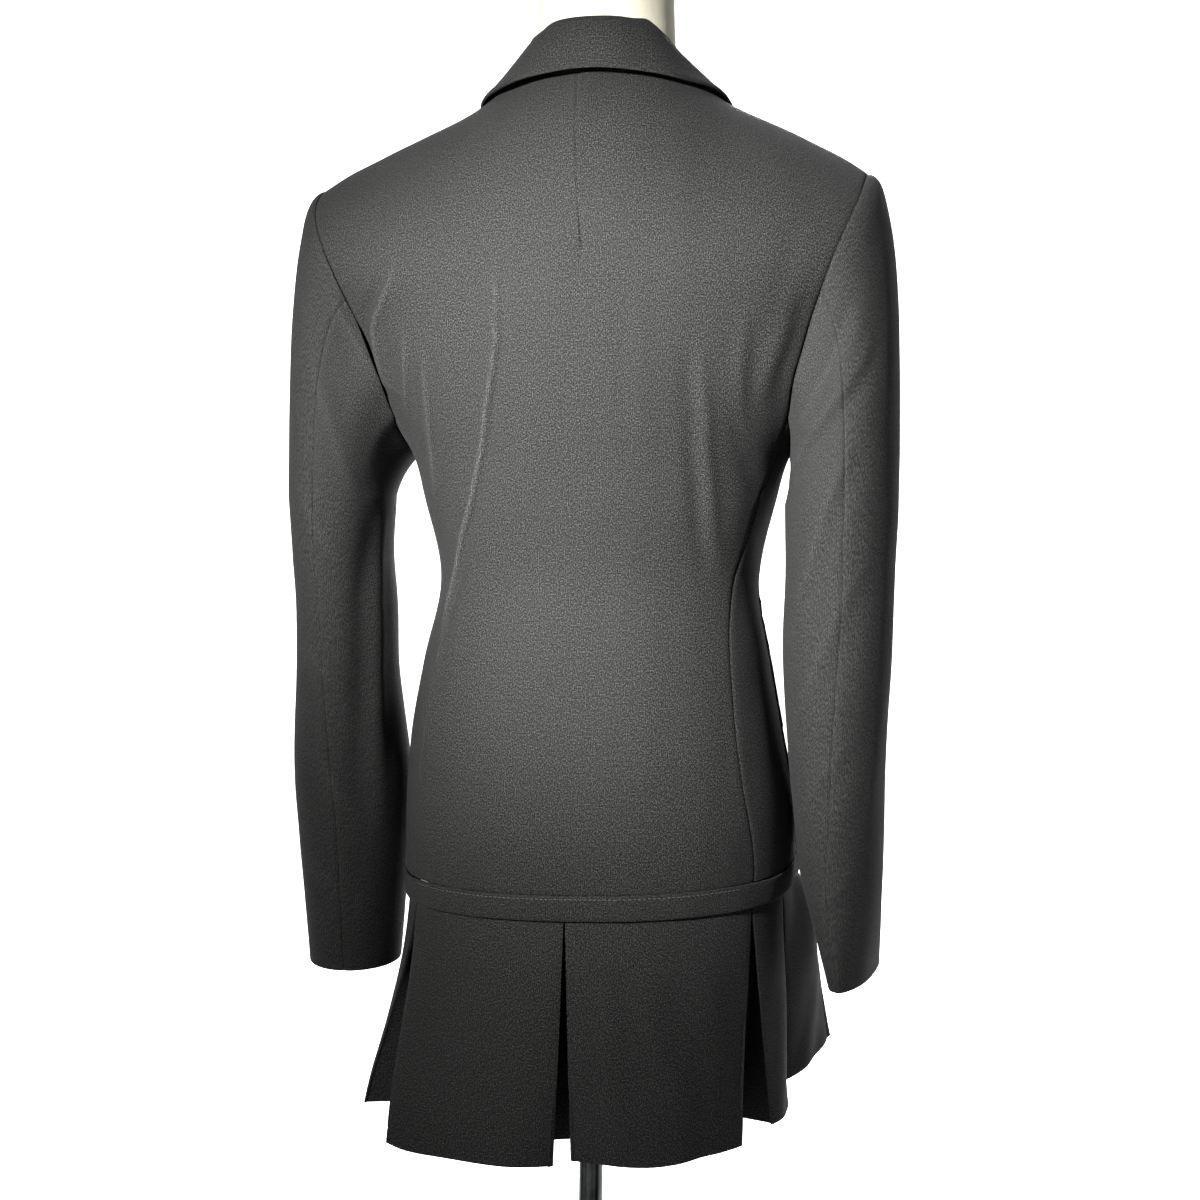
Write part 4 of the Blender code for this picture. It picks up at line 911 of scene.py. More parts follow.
def chrome_material():
    """Polished chrome with dark and light reflection streaks painted round its axis, faint wiping
    marks and dust.
    """
    look = Look(bpy.data.materials.new("polished_chrome"))
    coords = look.places()
    marks = look.grain(coords, 60.0, 0.25, 4.0)
    dust = look.grain(coords, 900.0, 1.0, 3.0)
    place = look.parts(coords)
    # Painted reflection: dark and light bands round the axis, as the chrome would mirror the room,
    # multiplied into its colour
    turn = look.maths("ARCTAN2", place["Y"], place["X"])
    slow_painted_band = look.maths("SINE", look.maths("MULTIPLY", turn, 5.0))
    quick_painted_band = look.maths("SINE", look.maths("MULTIPLY", turn, 13.0))
    both = look.maths("ADD", slow_painted_band, look.maths("MULTIPLY", quick_painted_band, 0.5))
    around = look.maths("MULTIPLY", look.maths("ADD", both, 1.5), 0.33)
    tone = look.multiplied(
        look.ramp(marks, (0.3, (0.040, 0.042, 0.042)), (0.7, (0.095, 0.10, 0.10))),
        (1.0, look.ramp(around, (0.2, 0.12), (0.45, 0.7), (0.8, 1.3))))
    return look.finished(
        {"Base Color": tone, "Roughness": look.ramp(marks, (0.35, 0.06), (0.75, 0.22)),
         "Metallic": 1.0},
        ((dust, 0.05, 0.0002), (marks, 0.05, 0.0006)))


def horn_material():
    """Dark polished horn with a faint streak."""
    look = Look(bpy.data.materials.new("dark_horn_buttons"))
    streak = look.grain(look.places(), 120.0, 6.0, 4.0)
    return look.finished(
        {"Base Color": look.ramp(streak, (0.3, 0.008), (0.75, (0.030, 0.026, 0.023))),
         "Roughness": look.ramp(streak, (0.2, 0.22), (0.8, 0.40))},
        ((streak, 0.15, 0.0003),))


def thread_material():
    """Black sewing thread."""
    look = Look(bpy.data.materials.new("sewing_thread"))
    twist = look.grain(look.places(), 5000.0, 1.0, 2.0)
    return look.finished(
        {"Base Color": look.ramp(twist, (0.3, 0.012), (0.7, 0.040)), "Roughness": 0.55},
        ((twist, 0.4, 0.0001),))


# ---------------------------------------------------------------- objects

FLAT_FROM = 10            # a face with this many corners is a flat end, and isn't smoothed
WELD = 2e-5               # points this close are one


def new_object(name, data, finish=None):
    """An object in the scene; a mesh gets its finish and smooth shading."""
    thing = bpy.data.objects.new(name, data)
    bpy.context.scene.collection.objects.link(thing)
    if finish:
        data.materials.append(finish)
        for face in data.polygons:
            face.use_smooth = len(face.vertices) < FLAT_FROM
    return thing


def declare(thing, node=None):
    """Sets a piece to ride the one body and, if it takes a node's place, hides that node."""
    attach(thing, "root")
    if node:
        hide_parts(node)


def turned_outward(mesh, closed=False):
    """Turns a mesh's faces outward; with closed, its edges are first joined and filled."""
    shape = bmesh.new()
    shape.from_mesh(mesh)
    if closed:
        bmesh.ops.remove_doubles(shape, verts=shape.verts, dist=WELD)
        bmesh.ops.holes_fill(shape, edges=[e for e in shape.edges if e.is_boundary])
    bmesh.ops.recalc_face_normals(shape, faces=shape.faces)
    shape.to_mesh(mesh)
    shape.free()


# ---------------------------------------------------------------- sheets of cloth

CELL = 0.0030             # size of a sheet's mesh
CELL_FRONT = 0.0042       # and of the fronts'
NEAR_SEAM = np.array((0.0, 0.0005, 0.0010, 0.0016, 0.0023))  # rows beside a sewn edge
PANEL_LOW = 0.41          # a body panel's length up to the rounding of the shoulder
PANEL_OVER = 0.21         # and over it
SIDE_BACK_LENGTH = 0.34
ARM_LENGTH = 0.40         # of a sleeve below its head
SLEEVE_STEPS = 76         # rows of a sleeve's head
# About how wide each piece is, and how uneven its cloth hangs.
ACROSS = {"back": 0.40, "side_back": 0.085, "front": 0.24, "top_sleeve": 0.20,
          "under_sleeve": 0.16, "collar": 0.46, "fall": 0.085, "lapel": 0.07, "roll": 0.19}
SLACK = {"body": 0.00022, "sleeve": 0.00028, "collar": 0.00012, "lapel": 0.00010,
         "skirt": 0.0013}
SEAM_DEPTH = 0.0005       # how far an ironed seam's edge sinks in
SEAM_WIDTH = 0.0011
TURNING_LIFT = 0.00016    # how far the turned-in cloth beside it stands out
SIDE_SWELL = 0.0009       # waves down the side back panels
HEAD_EASE = 0.0011        # fullness eased in round the sleeve head, and how far down
HEAD_DROP = 0.012
EDGE_ROLL = 0.0005        # the collar's thick edge, and the hollow outside it
EDGE_HOLLOW = 0.0004
BAND_LOOSE = 0.0007       # the band's top stands off this much near the sides
BAND_SAG = 0.0012         # and drops this much
BAND_ROUND = 0.0003       # its edges are rounded by this much
HEM_WAVE = 0.0011         # up and down at the hem
EDGE_SHARE = 0.3          # a cut edge is rounded over this share of the wall
SEWN_UP = 0.6             # a shoulder seam is this much shallower than one up the body
UPRIGHT = (1.0, 0.0, 1.0)  # drops the depth of a point


def bell(distance, width):
    """1 at no distance, falling softly to 0 a few widths away."""
    return np.exp(-(distance / width) ** 2)


def metres(points):
    """Distances along a sheet's rows and columns."""
    across = np.linalg.norm(np.diff(points, axis=1), axis=-1)
    up = np.linalg.norm(np.diff(points, axis=0), axis=-1)
    u = np.pad(np.cumsum(across, axis=1), ((0, 0), (1, 0)))
    v = np.pad(np.cumsum(up, axis=0), ((1, 0), (0, 0)))
    return u, v


def edge_distances(points):
    """Distance from each point to the start and the end of its row, and of its column."""
    u, v = metres(points)
    return u, u[:, -1:] - u, v, v[-1:] - v


def outward(points, flip):
    normal = np.cross(np.gradient(points, axis=1), np.gradient(points, axis=0))
    normal = normal / np.maximum(np.linalg.norm(normal, axis=-1, keepdims=True), 1e-12)
    return -normal if flip else normal


def crease_lift(points, normals, line, width, height, trough, ends=0.6):
    """What a soft crease adds: a ridge along a line with a trough on its left side,
    and how far each point lies on the ridge, 0 to 1."""
    line = np.asarray(line, float)
    marks = np.cumsum(np.r_[0.0, np.linalg.norm(np.diff(line, axis=0), axis=1)])
    marks = marks / marks[-1]
    nearest = np.full(points.shape[:-1], np.inf)
    signed = np.zeros_like(nearest)
    share = np.zeros_like(nearest)
    for start, run, mark, span in zip(line, np.diff(line, axis=0), marks, np.diff(marks)):
        t = within((points - start) @ run / (run @ run))
        away = points - start - t[..., None] * run
        distance = np.linalg.norm(away, axis=-1)
        hand = np.sign(np.sum(np.cross(normals, run) * away, axis=-1))
        closer = distance < nearest
        nearest = np.where(closer, distance, nearest)
        signed = np.where(closer, distance * hand, signed)
        share = np.where(closer, mark + span * t, share)
    fade = np.sin(np.pi * within(share)) ** ends
    hollow = bell(signed - 1.8 * width, 1.3 * width)
    top = fade * bell(signed, 0.42 * width)
    return height * fade * (bell(signed, width) - trough * hollow), top


def creased(points, normals, lines):
    """What all creases add, and how strongly a highlight is painted into the colour along
    their ridges; lines holds pairs of a crease and its points."""
    lift = np.zeros(points.shape[:2])
    shine = np.zeros(points.shape[:2])
    for crease, line in lines:
        rise, top = crease_lift(points, normals, line, crease.width, crease.height,
                                crease.trough)
        lift = lift + rise
        shine = np.maximum(shine, top * crease.shine)
    return lift, shine


def slack(points, amount, seed):
    """The cloth's slight unevenness: long soft waves, mostly up and down the piece."""
    across = points[..., 0] + 0.7 * points[..., 1]
    z = points[..., 2]
    rise = 0.0
    for k, (pace, up, size) in enumerate(((150.0, 9.0, 0.5), (95.0, 22.0, 0.7),
                                          (210.0, 31.0, 0.3), (58.0, 45.0, 0.6),
                                          (40.0, 120.0, 0.25))):
        phase = seed * 1.7 + k * 2.1
        rise = rise + size * np.sin(pace * across + up * z
                                    + phase + 1.1 * np.sin(13.0 * z + phase))
    return amount * rise / 1.6


def seam_valley(distance):
    """An ironed seam: the edge sinks in, with the turned-in cloth just felt beside it."""
    beside = TURNING_LIFT * bell(distance - 0.005, 0.003)
    return beside - SEAM_DEPTH * bell(distance, SEAM_WIDTH)


def spaced(start, end, size, around):
    return np.linspace(start, end, int(round(around / size)) + 1)


def closely(start, end, size, length, both=True):
    """Evenly spaced places with closer ones beside the sewn edges."""
    near = NEAR_SEAM / length * (end - start)
    ends = np.r_[start + near, end - near] if both else end - near
    return np.unique(np.r_[spaced(start, end, size, length), ends])


def levels_for(cell):
    """Levels from the band to the shoulder, about a cell apart over both parts."""
    low = np.linspace(0.0, 1.0, int(PANEL_LOW / cell))
    return np.r_[low, closely(1.0, 2.0, cell, PANEL_OVER, False)[1:]]


def make_sheet(node, points, flip, lift, shine=0.0, thickness=CLOTH, offset=-1.0):
    """A cloth piece with its creases, thickness and rounded edges, in place of a node.
    Where the highlight argument is above 0, a highlight is painted into the colour along the crease
    ridges."""
    name = node + "_cloth"
    u, v = metres(points)
    uv = np.stack((u - u[:, u.shape[1] // 2][:, None], v), axis=-1)
    shape = points + outward(points, flip) * lift[..., None]
    thing = new_object(name, sheet_mesh(name, shape, flip, uv), WOOL)
    # painted highlight: the attribute that lightens the colour along the crease ridges
    painted_ridge_highlight = thing.data.attributes.new("painted_ridge_highlight", "FLOAT", "POINT")
    painted_ridge_highlight.data.foreach_set("value", (lift * 0.0 + shine).ravel())
    wall = thing.modifiers.new("wall", "SOLIDIFY")
    wall.thickness = thickness
    wall.offset = offset
    edge = thing.modifiers.new("edge", "BEVEL")
    edge.width = thickness * EDGE_SHARE
    edge.segments = 2
    edge.limit_method = "ANGLE"
    edge.angle_limit = math.radians(50.0)
    declare(thing, node)


def sheet_mesh(name, points, flip, uv):
    mesh = grid_mesh(name, points, flip)
    layer = mesh.uv_layers.new(name="cloth")
    corners = np.zeros(len(mesh.loops), np.int32)
    mesh.loops.foreach_get("vertex_index", corners)
    layer.data.foreach_set("uv", uv.reshape(-1, 2)[corners].astype(np.float32).ravel())
    return mesh


# ---------------------------------------------------------------- creases

# The last field is how strongly a highlight is painted into the colour along the crease's ridge.
Crease = namedtuple("Crease", "rows width height trough shine", defaults=(0.15,))

# Creases of the back, as x, z; a row's trough lies on the left of the way it runs.
BACK_CREASES = (
    Crease(((0.056, 1.29), (0.0563, 1.2568), (0.0559, 1.2339), (0.0595, 1.2116),
            (0.0643, 1.1885), (0.0688, 1.161), (0.0794, 1.1215), (0.0888, 1.0951),
            (0.0958, 1.0688), (0.1025, 1.0452), (0.1065, 1.0336), (0.111, 1.0),
            (0.114, 0.968)), 0.0028, 0.0019, 0.9, 0.8),
    Crease(((-0.099, 1.0711), (-0.0946, 1.0969), (-0.0929, 1.1294), (-0.0903, 1.1583),
            (-0.0907, 1.1814), (-0.087, 1.23)), 0.005, 0.002, 1.0, 0.0),
    Crease(((0.1317, 1.1937), (0.1481, 1.2056), (0.1523, 1.2234), (0.154, 1.2418),
            (0.1501, 1.2514), (0.1369, 1.2735), (0.133, 1.29)), 0.0042, 0.0027, 0.9, 0.5),
    Crease(((0.1275, 1.24), (0.1284, 1.207), (0.132, 1.1795)), 0.003, 0.0014, 0.6, 0.4),
    Crease(((0.1122, 1.225), (0.1124, 1.1824), (0.1138, 1.1443), (0.1146, 1.12)),
           0.0032, 0.0014, 0.7, 0.5),
    Crease(((0.139, 1.356), (0.142, 1.3442), (0.1523, 1.3137), (0.156, 1.29)),
           0.009, -0.0009, 0.5, 0.0),
    Crease(((-0.0234, 1.28), (-0.024, 1.22), (-0.0254, 1.15)), 0.007, 0.0003, 0.8, 0.0),
    Crease(((-0.0452, 1.29), (-0.0455, 1.22), (-0.0458, 1.14)), 0.008, 0.0004, 0.8, 0.0),
    Crease(((-0.11, 1.2), (-0.1147, 1.1593), (-0.1237, 1.1241)), 0.006, -0.0014, 0.6, 0.0),
    Crease(((-0.148, 1.27), (-0.142, 1.24), (-0.133, 1.215), (-0.125, 1.19)),
           0.006, 0.0016, 0.8, 0.0),
    Crease(((-0.118, 1.255), (-0.115, 1.225), (-0.113, 1.19), (-0.116, 1.15)),
           0.005, 0.0012, 0.8, 0.0),
    Crease(((-0.15, 1.32), (-0.146, 1.29), (-0.138, 1.26)), 0.008, -0.0007, 0.6, 0.0),
    Crease(((0.09, 0.93), (0.06, 0.918), (0.02, 0.915)), 0.009, 0.0003, 0.6, 0.0),
    Crease(((-0.09, 0.95), (-0.05, 0.93), (-0.01, 0.928)), 0.009, 0.0003, 0.6, 0.0),
)
# The short middle seam, x, z from the neck down; a dimple marks where it ends.
MIDDLE_SEAM = ((0.009, 1.4256), (0.0055, 1.39), (0.001, 1.35), (-0.0022, 1.32),
               (-0.0048, 1.2962))

# Creases of the fronts, on the wearer's left; the right front has them a little moved.
FRONT_CREASES = (
    Crease(((0.129, 1.165), (0.11, 1.15), (0.085, 1.142), (0.06, 1.14)), 0.006, 0.0012, 0.7),
    Crease(((0.136, 1.19), (0.125, 1.22), (0.118, 1.26)), 0.006, 0.0014, 0.7),
    Crease(((0.118, 1.07), (0.095, 1.06), (0.065, 1.062)), 0.006, 0.001, 0.7),
    Crease(((0.115, 1.05), (0.09, 1.035), (0.06, 1.03)), 0.007, 0.0009, 0.7),
    Crease(((0.11, 0.99), (0.1, 0.93), (0.095, 0.88)), 0.008, 0.0008, 0.7),
)

# Creases of the sleeves, as turn in degrees and level, 1 at the first level section
# and 2 at the cuff.
SLEEVE_CREASES = {
    -1: (
        Crease(((70.0, 0.34), (79.5, 0.4), (95.5, 0.42), (117.5, 0.37), (130.0, 0.3)),
               0.0055, -0.0016, 0.7),
        Crease(((55.0, 0.58), (65.0, 0.617), (84.0, 0.62), (105.0, 0.6), (135.0, 0.62),
                (168.0, 0.62)), 0.005, 0.0015, 0.8),
        Crease(((80.0, 0.82), (91.5, 0.9), (103.5, 1.0), (120.5, 1.13), (140.0, 1.2)),
               0.0055, 0.0014, 0.8),
        Crease(((60.0, 1.1), (85.0, 1.18), (110.0, 1.32), (130.0, 1.42)), 0.007, 0.001, 0.8),
        Crease(((70.0, 1.45), (95.0, 1.52), (125.0, 1.6)), 0.007, 0.0008, 0.7),
        Crease(((-60.0, 0.55), (-80.0, 0.7), (-95.0, 0.95)), 0.006, 0.0012, 0.7),
        Crease(((-70.0, 1.15), (-95.0, 1.22), (-115.0, 1.2)), 0.0065, 0.0012, 0.7),
        Crease(((-60.0, 1.32), (-90.0, 1.36), (-115.0, 1.33)), 0.0065, 0.001, 0.7),
        Crease(((55.0, 1.7), (80.0, 1.78), (110.0, 1.8)), 0.008, 0.0007, 0.7),
    ),
    +1: (
        Crease(((62.0, 0.16), (82.0, 0.13), (98.0, 0.1), (112.0, 0.08)), 0.004, 0.001, 0.5),
        Crease(((168.0, 1.02), (152.0, 1.2), (141.0, 1.45), (136.0, 1.7)), 0.0085, 0.0026, 1.0,
               0.0),
        Crease(((70.0, 0.55), (95.0, 0.66), (115.0, 0.82), (130.0, 1.0)), 0.007, 0.0009, 0.7),
        Crease(((60.0, 0.95), (85.0, 1.05), (110.0, 1.12)), 0.008, 0.0008, 0.7),
        Crease(((60.0, 1.28), (85.0, 1.34), (115.0, 1.38)), 0.008, 0.001, 0.7),
        Crease(((75.0, 1.5), (95.0, 1.6), (115.0, 1.66)), 0.008, 0.001, 0.7),
        Crease(((-60.0, 0.5), (-80.0, 0.65), (-95.0, 0.9)), 0.006, 0.0012, 0.7),
        Crease(((-70.0, 1.18), (-95.0, 1.24), (-115.0, 1.22)), 0.0065, 0.0012, 0.7),
        Crease(((-60.0, 1.34), (-90.0, 1.38), (-115.0, 1.36)), 0.0065, 0.001, 0.7),
        Crease(((60.0, 1.75), (85.0, 1.8), (105.0, 1.84)), 0.008, 0.0007, 0.7),
    ),
}

# Creases of the pleated part's back, as x, z.
SKIRT_CREASES = (
    Crease(((0.118, 0.792), (0.085, 0.789), (0.04, 0.792)), 0.005, 0.0005, 0.6),
    Crease(((0.12, 0.735), (0.08, 0.728), (0.035, 0.731)), 0.006, 0.0006, 0.6),
    Crease(((0.064, 0.705), (0.052, 0.69), (0.036, 0.68)), 0.0035, 0.0007, 0.7),
    Crease(((-0.03, 0.8), (-0.036, 0.75), (-0.04, 0.69)), 0.007, 0.0012, 0.7),
    Crease(((-0.06, 0.79), (-0.07, 0.74), (-0.085, 0.69)), 0.008, 0.0012, 0.7),
    Crease(((-0.1, 0.8), (-0.108, 0.74), (-0.112, 0.68)), 0.008, 0.0012, 0.8),
    Crease(((-0.148, 0.8), (-0.152, 0.74), (-0.156, 0.69)), 0.007, 0.0012, 0.8),
)

FRONT_CREASE_MOVE = 0.004  # the right front's creases lie this much higher
# The middle seam's sharp valley and the soft rise about it: width, height and how
# soon each fades at its ends.
MIDDLE_SEAM_PARTS = ((0.0008, -0.0009, 0.12), (0.0050, 0.0003, 0.3))
DIMPLE_DEPTH = 0.0011
DIMPLE_WIDTH = 0.0035
CREASE_REACH = 130.0      # a crease further round the arm leaves a sleeve piece alone


# ---------------------------------------------------------------- the jacket's pieces

def flat_line(rows):
    """Crease points x, z on the body, compared without their depth."""
    return [(x, 0.0, z) for x, z in rows]


def body_lift(points, flip, creases, mirror, seed, move=0.0):
    """Creases and slackness of a body panel, and the highlight painted along its creases."""
    lines = []
    for crease in creases:
        line = flat_line([(mirror * x, z + move) for x, z in crease.rows])
        lines.append((crease, line[::mirror]))
    lift, shine = creased(points * UPRIGHT, outward(points, flip), lines)
    return lift + slack(points, SLACK["body"], seed), shine


def follow_seam(f, level):
    """Slides the back's columns sideways so that its middle ones run along the seam."""
    rows = np.array(MIDDLE_SEAM)[::-1]
    middle = back_points(0.0 * level, level)
    seam_x = np.interp(middle[..., 2], rows[:, 1], rows[:, 0])
    reach = back_points(0.0 * level + 0.1, level)[..., 0] - middle[..., 0]
    return f + 0.1 * seam_x / reach * (1 - f ** 2)


def make_back():
    """The back, creased, with the short seam sunk in from the neck and its dimple."""
    beside = NEAR_SEAM / (ACROSS["back"] / 2 - 0.03)
    columns = np.unique(np.r_[closely(-1, 1, CELL, ACROSS["back"]), -beside, beside])
    f, level = np.meshgrid(columns, levels_for(CELL))
    points = back_points(follow_seam(f, level), level)
    lift, shine = body_lift(points, True, BACK_CREASES, 1, 1)
    left, right, low, high = edge_distances(points)
    lift = lift + seam_valley(left) + seam_valley(right) + seam_valley(high) * SEWN_UP
    normals = outward(points, True)
    seam = flat_line(MIDDLE_SEAM)
    for width, height, ends in MIDDLE_SEAM_PARTS:
        lift = lift + crease_lift(points * UPRIGHT, normals, seam, width, height, 0.0, ends)[0]
    away = np.linalg.norm((points * UPRIGHT - seam[-1]) * (1.0, 1.0, 0.45), axis=-1)
    lift = lift - DIMPLE_DEPTH * bell(away, DIMPLE_WIDTH)
    make_sheet("back", points, True, lift, shine)


def make_side_back(side, word):
    f, level = np.meshgrid(closely(0, 1, CELL, ACROSS["side_back"]),
                           closely(0, 1, CELL, SIDE_BACK_LENGTH))
    points = side_back_points(side, f, level)
    start, end, low, high = edge_distances(points)
    lift = slack(points, SLACK["body"], 2 + side)
    lift = lift + seam_valley(start) + seam_valley(end) + seam_valley(high)
    swell = SIDE_SWELL * np.sin(np.pi * within(start / np.maximum(start + end, 1e-6)))
    lift = lift + swell * np.sin(level * 15.0 + side) * bell(level - 0.75, 0.3)
    make_sheet("side_back_" + word, points, side > 0, lift)


def make_front(side, word):
    f, level = np.meshgrid(closely(0, 1, CELL_FRONT, ACROSS["front"], False),
                           levels_for(CELL_FRONT))
    points = front_points(side, f, level)
    flip = side < 0
    lift, shine = body_lift(points, flip, FRONT_CREASES, side, 5 + side,
                            FRONT_CREASE_MOVE * flip)
    inner, outer, low, high = edge_distances(points)
    lift = lift + seam_valley(outer) + seam_valley(high) * SEWN_UP
    make_sheet("front_" + word, points, flip, lift, shine)


def make_sleeve(side, word):
    """Top and under sleeve, with rounded seams along the arm."""
    levels = np.r_[np.linspace(0, 1, SLEEVE_STEPS), closely(1, 2, CELL, ARM_LENGTH, False)[1:]]
    levels = levels[:, None]
    hind = seam_turn(levels)
    along_arm = np.maximum(levels, 1.0)
    hind_gap = -seam_gap(side, hind, along_arm) * 0.1
    fore_gap = -seam_gap(side, FORE_SEAM, along_arm) * 0.1
    flip = side > 0
    for piece, low, high, low_gap, high_gap, seed in (
            ("top_sleeve", FORE_SEAM - 360, hind, fore_gap, hind_gap, 9),
            ("under_sleeve", hind, FORE_SEAM, hind_gap, fore_gap, 12)):
        share = closely(0, 1, CELL, ACROSS[piece])[None, :]
        turn = low + (high - low) * share + low_gap * (1 - share) - high_gap * share
        points = sleeve_points(side, turn, levels + 0 * turn)
        lines = []
        for crease in SLEEVE_CREASES[side]:
            turns, rows = np.array(crease.rows).T
            from_middle = turns.mean() - (low + high).mean() / 2
            if abs((from_middle + 180.0) % 360.0 - 180.0) < CREASE_REACH:
                lines.append((crease, sleeve_points(side, turns, rows)[::-side]))
        lift, shine = creased(points, outward(points, flip), lines)
        start, end, top, cuff = edge_distances(points)
        lift = lift + slack(points, SLACK["sleeve"], seed + side)
        lift = lift + seam_valley(start) + seam_valley(end) + seam_valley(top) * 0.7
        outer_side = within(np.cos(np.radians(turn)))
        lift = lift + HEAD_EASE * outer_side * bell(top - HEAD_DROP, HEAD_DROP)
        make_sheet("%s_%s" % (piece, word), points, flip, lift, shine)


def make_collar():
    along, across = np.meshgrid(spaced(-1, 1, CELL, ACROSS["collar"]),
                                closely(0, 1, CELL * 0.8, ACROSS["fall"], False))
    points = collar_points(along, across)
    start, end, neck, edge = edge_distances(points)
    lift = slack(points, SLACK["collar"], 20)
    lift = lift + EDGE_ROLL * bell(np.minimum(edge, 0.02) - 0.0035, 0.003)
    lift = lift - EDGE_HOLLOW * bell(np.minimum(np.minimum(edge, start), end), 0.0012)
    make_sheet("collar", points, False, lift)


def make_lapel(side, word):
    along, across = np.meshgrid(spaced(0.02, 1, CELL, ACROSS["roll"]),
                                spaced(0, 1, CELL, ACROSS["lapel"]))
    points = lapel_points(side, along, across)
    lift = slack(points, SLACK["lapel"], 24 + side)
    make_sheet("lapel_" + word, points, side > 0, lift)


def band_rows(start, end, count):
    """Points of the hip band between two angles; near the sides its top edge stands off."""
    rows = []
    for level in np.linspace(0.0, 1.0, 8):
        row = []
        for angle in np.linspace(start, end, count):
            x = band_point(angle, 0.0)[0]
            lift = lap_lift(-1, -x) if angle < -90 else 0.0
            loose = bell(abs(angle) - 68.0, 15.0) * level
            free = BAND_LOOSE * loose - 0.0006 + 0.0002 * math.sin(angle * 0.35)
            round_over = BAND_ROUND * (1 - (2 * level - 1) ** 8)
            point = band_point(angle, -BAND_LIFT - lift - free - round_over)
            row.append((*point, BAND_BOTTOM + (BAND_HEIGHT - SEAM) * level - BAND_SAG * loose))
        rows.append(row)
    return leaned(np.array(rows))


def make_band():
    for name, start, end, count in (("hip_band_back", -89.94, 89.94, 240),
                                    ("hip_band_left", 90.06, 186.94, 100),
                                    ("hip_band_right", -186.94, -90.06, 100)):
        points = band_rows(start, end, count)
        make_sheet(name, points, True, np.zeros(points.shape[:2]))


def make_skirt():
    """The pleated part: ironed folds above, opening and waving a little at the hem."""
    levels = np.r_[0.0, UNDER_BAND, np.linspace(0.09, 1.0, 44)]
    halves = {}
    for side in (1, -1):
        top, hem, marks = skirt_side(side, 26, 11)
        halves[side] = (skirt_rows(side, top, hem, levels), marks[1])
    left, left_mark = halves[1]
    right, right_mark = halves[-1]
    back = np.concatenate((right[:, right_mark:0:-1], left[:, :left_mark + 1]), axis=1)
    cut_ends(back)
    free = within((levels - 0.15) / 0.85)[:, None]
    for name, points, flip, seed, creases in (
            ("skirt_back", back, False, 31, SKIRT_CREASES),
            ("skirt_left", left[:, left_mark:], False, 33, ()),
            ("skirt_right", right[:, right_mark:], True, 35, ())):
        across = metres(points)[0][-1]
        points[..., 2] += HEM_WAVE * free ** 3 * (np.sin(34.0 * across + seed)
                                                + 0.7 * np.sin(71.0 * across + 2 * seed))
        lines = [(crease, flat_line(crease.rows)) for crease in creases]
        rise = creased(points * UPRIGHT, outward(points, flip), lines)[0]
        lift = slack(points, SLACK["skirt"], seed) * free ** 1.3 + rise * (points[..., 1] > 0)
        make_sheet(name, points, flip, lift, thickness=PLEAT_CLOTH, offset=0.0)


# ---------------------------------------------------------------- sewing

STITCH = 0.0026
STITCH_GAP = 0.0009
THREAD_RADIUS = 0.00022   # of the band's stitches
HOLE_THREAD_RADIUS = 0.00042
BUTTON_THREAD_RADIUS = 0.0003
STITCH_LEVEL = 6          # row of the band's points that its stitches follow
HOLE_HALF = 0.0115        # half the length of a buttonhole
HOLE_STEPS = 26


def capsules(name, starts, ends, outs, radius):
    """Short rounded lengths of thread, one from each start to its end."""
    angles = 2 * np.pi * np.arange(6)[:, None] / 6
    shares = (0.0, 0.12, 0.5, 0.88, 1.0)
    widths = (0.25, 0.85, 1.0, 0.85, 0.25)
    steps = len(angles)
    verts = []
    faces = []
    for a, b, out in zip(starts, ends, outs):
        side = np.cross(out, unit(b - a))
        spokes = (out * np.cos(angles) + side * np.sin(angles)) * radius
        base = len(verts)
        for share, width in zip(shares, widths):
            verts.extend(a + (b - a) * share + spokes * width)
        for low in range(base, len(verts) - steps, steps):
            for k in range(steps):
                n = (k + 1) % steps
                faces.append((low + k, low + n, low + steps + n, low + steps + k))
        faces.append(tuple(range(base, base + steps))[::-1])
        faces.append(tuple(range(len(verts) - steps, len(verts))))
    mesh = bpy.data.meshes.new(name)
    mesh.from_pydata([tuple(v) for v in verts], [], faces)
    turned_outward(mesh)
    declare(new_object(name, mesh, THREAD))


def stitched(name, path, outs):
    """A row of stitches along a path of points with its outward directions."""
    marks = np.r_[0.0, np.cumsum(np.linalg.norm(np.diff(path, axis=0), axis=1))]
    places = np.arange(0.0, marks[-1] - STITCH, STITCH + STITCH_GAP)
    starts = np.stack([np.interp(places, marks, path[:, k]) for k in range(3)], axis=-1)
    ends = np.stack([np.interp(places + STITCH, marks, path[:, k]) for k in range(3)], axis=-1)
    ways = unit(np.stack([np.interp(places, marks, outs[:, k]) for k in range(3)], axis=-1))
    sunk = ways * THREAD_RADIUS * 0.75
    capsules(name, starts + sunk, ends + sunk, ways, THREAD_RADIUS)


def stitch_band():
    """One row of machine stitches along the band's upper edge, across the middle back
    and round the fronts."""
    for name, start, end in (("band_stitches_back", -49.0, 52.0),
                             ("band_stitches_left", 96.0, 184.0),
                             ("band_stitches_right", -184.0, -96.0)):
        rows = band_rows(start, end, 200)
        stitched(name, rows[STITCH_LEVEL], outward(rows, True)[STITCH_LEVEL])


def button_height(level):
    return float(column_height(NECK_X, level, BODY_BOTTOM, TIP_HEIGHT))


def stitch_buttonholes():
    """Each buttonhole is worked in thread: two rows of close short stitches."""
    for number, (level, _) in enumerate(BUTTONS, 1):
        z = button_height(level)
        starts = []
        ends = []
        for k in range(HOLE_STEPS + 1):
            x = HOLE_HALF - 2 * HOLE_HALF * k / HOLE_STEPS - 0.0015
            for edge in (-1, 1):
                for rows, reach in ((starts, 0.0004), (ends, 0.0019)):
                    rows.append(placed(-1, -1, x, z + edge * reach, LAP_LIFT + 0.0002))
        outs = [np.array((0.0, -1.0, 0.0))] * len(starts)
        capsules("buttonhole_%d" % number, starts, ends, outs, HOLE_THREAD_RADIUS)


# ---------------------------------------------------------------- buttons

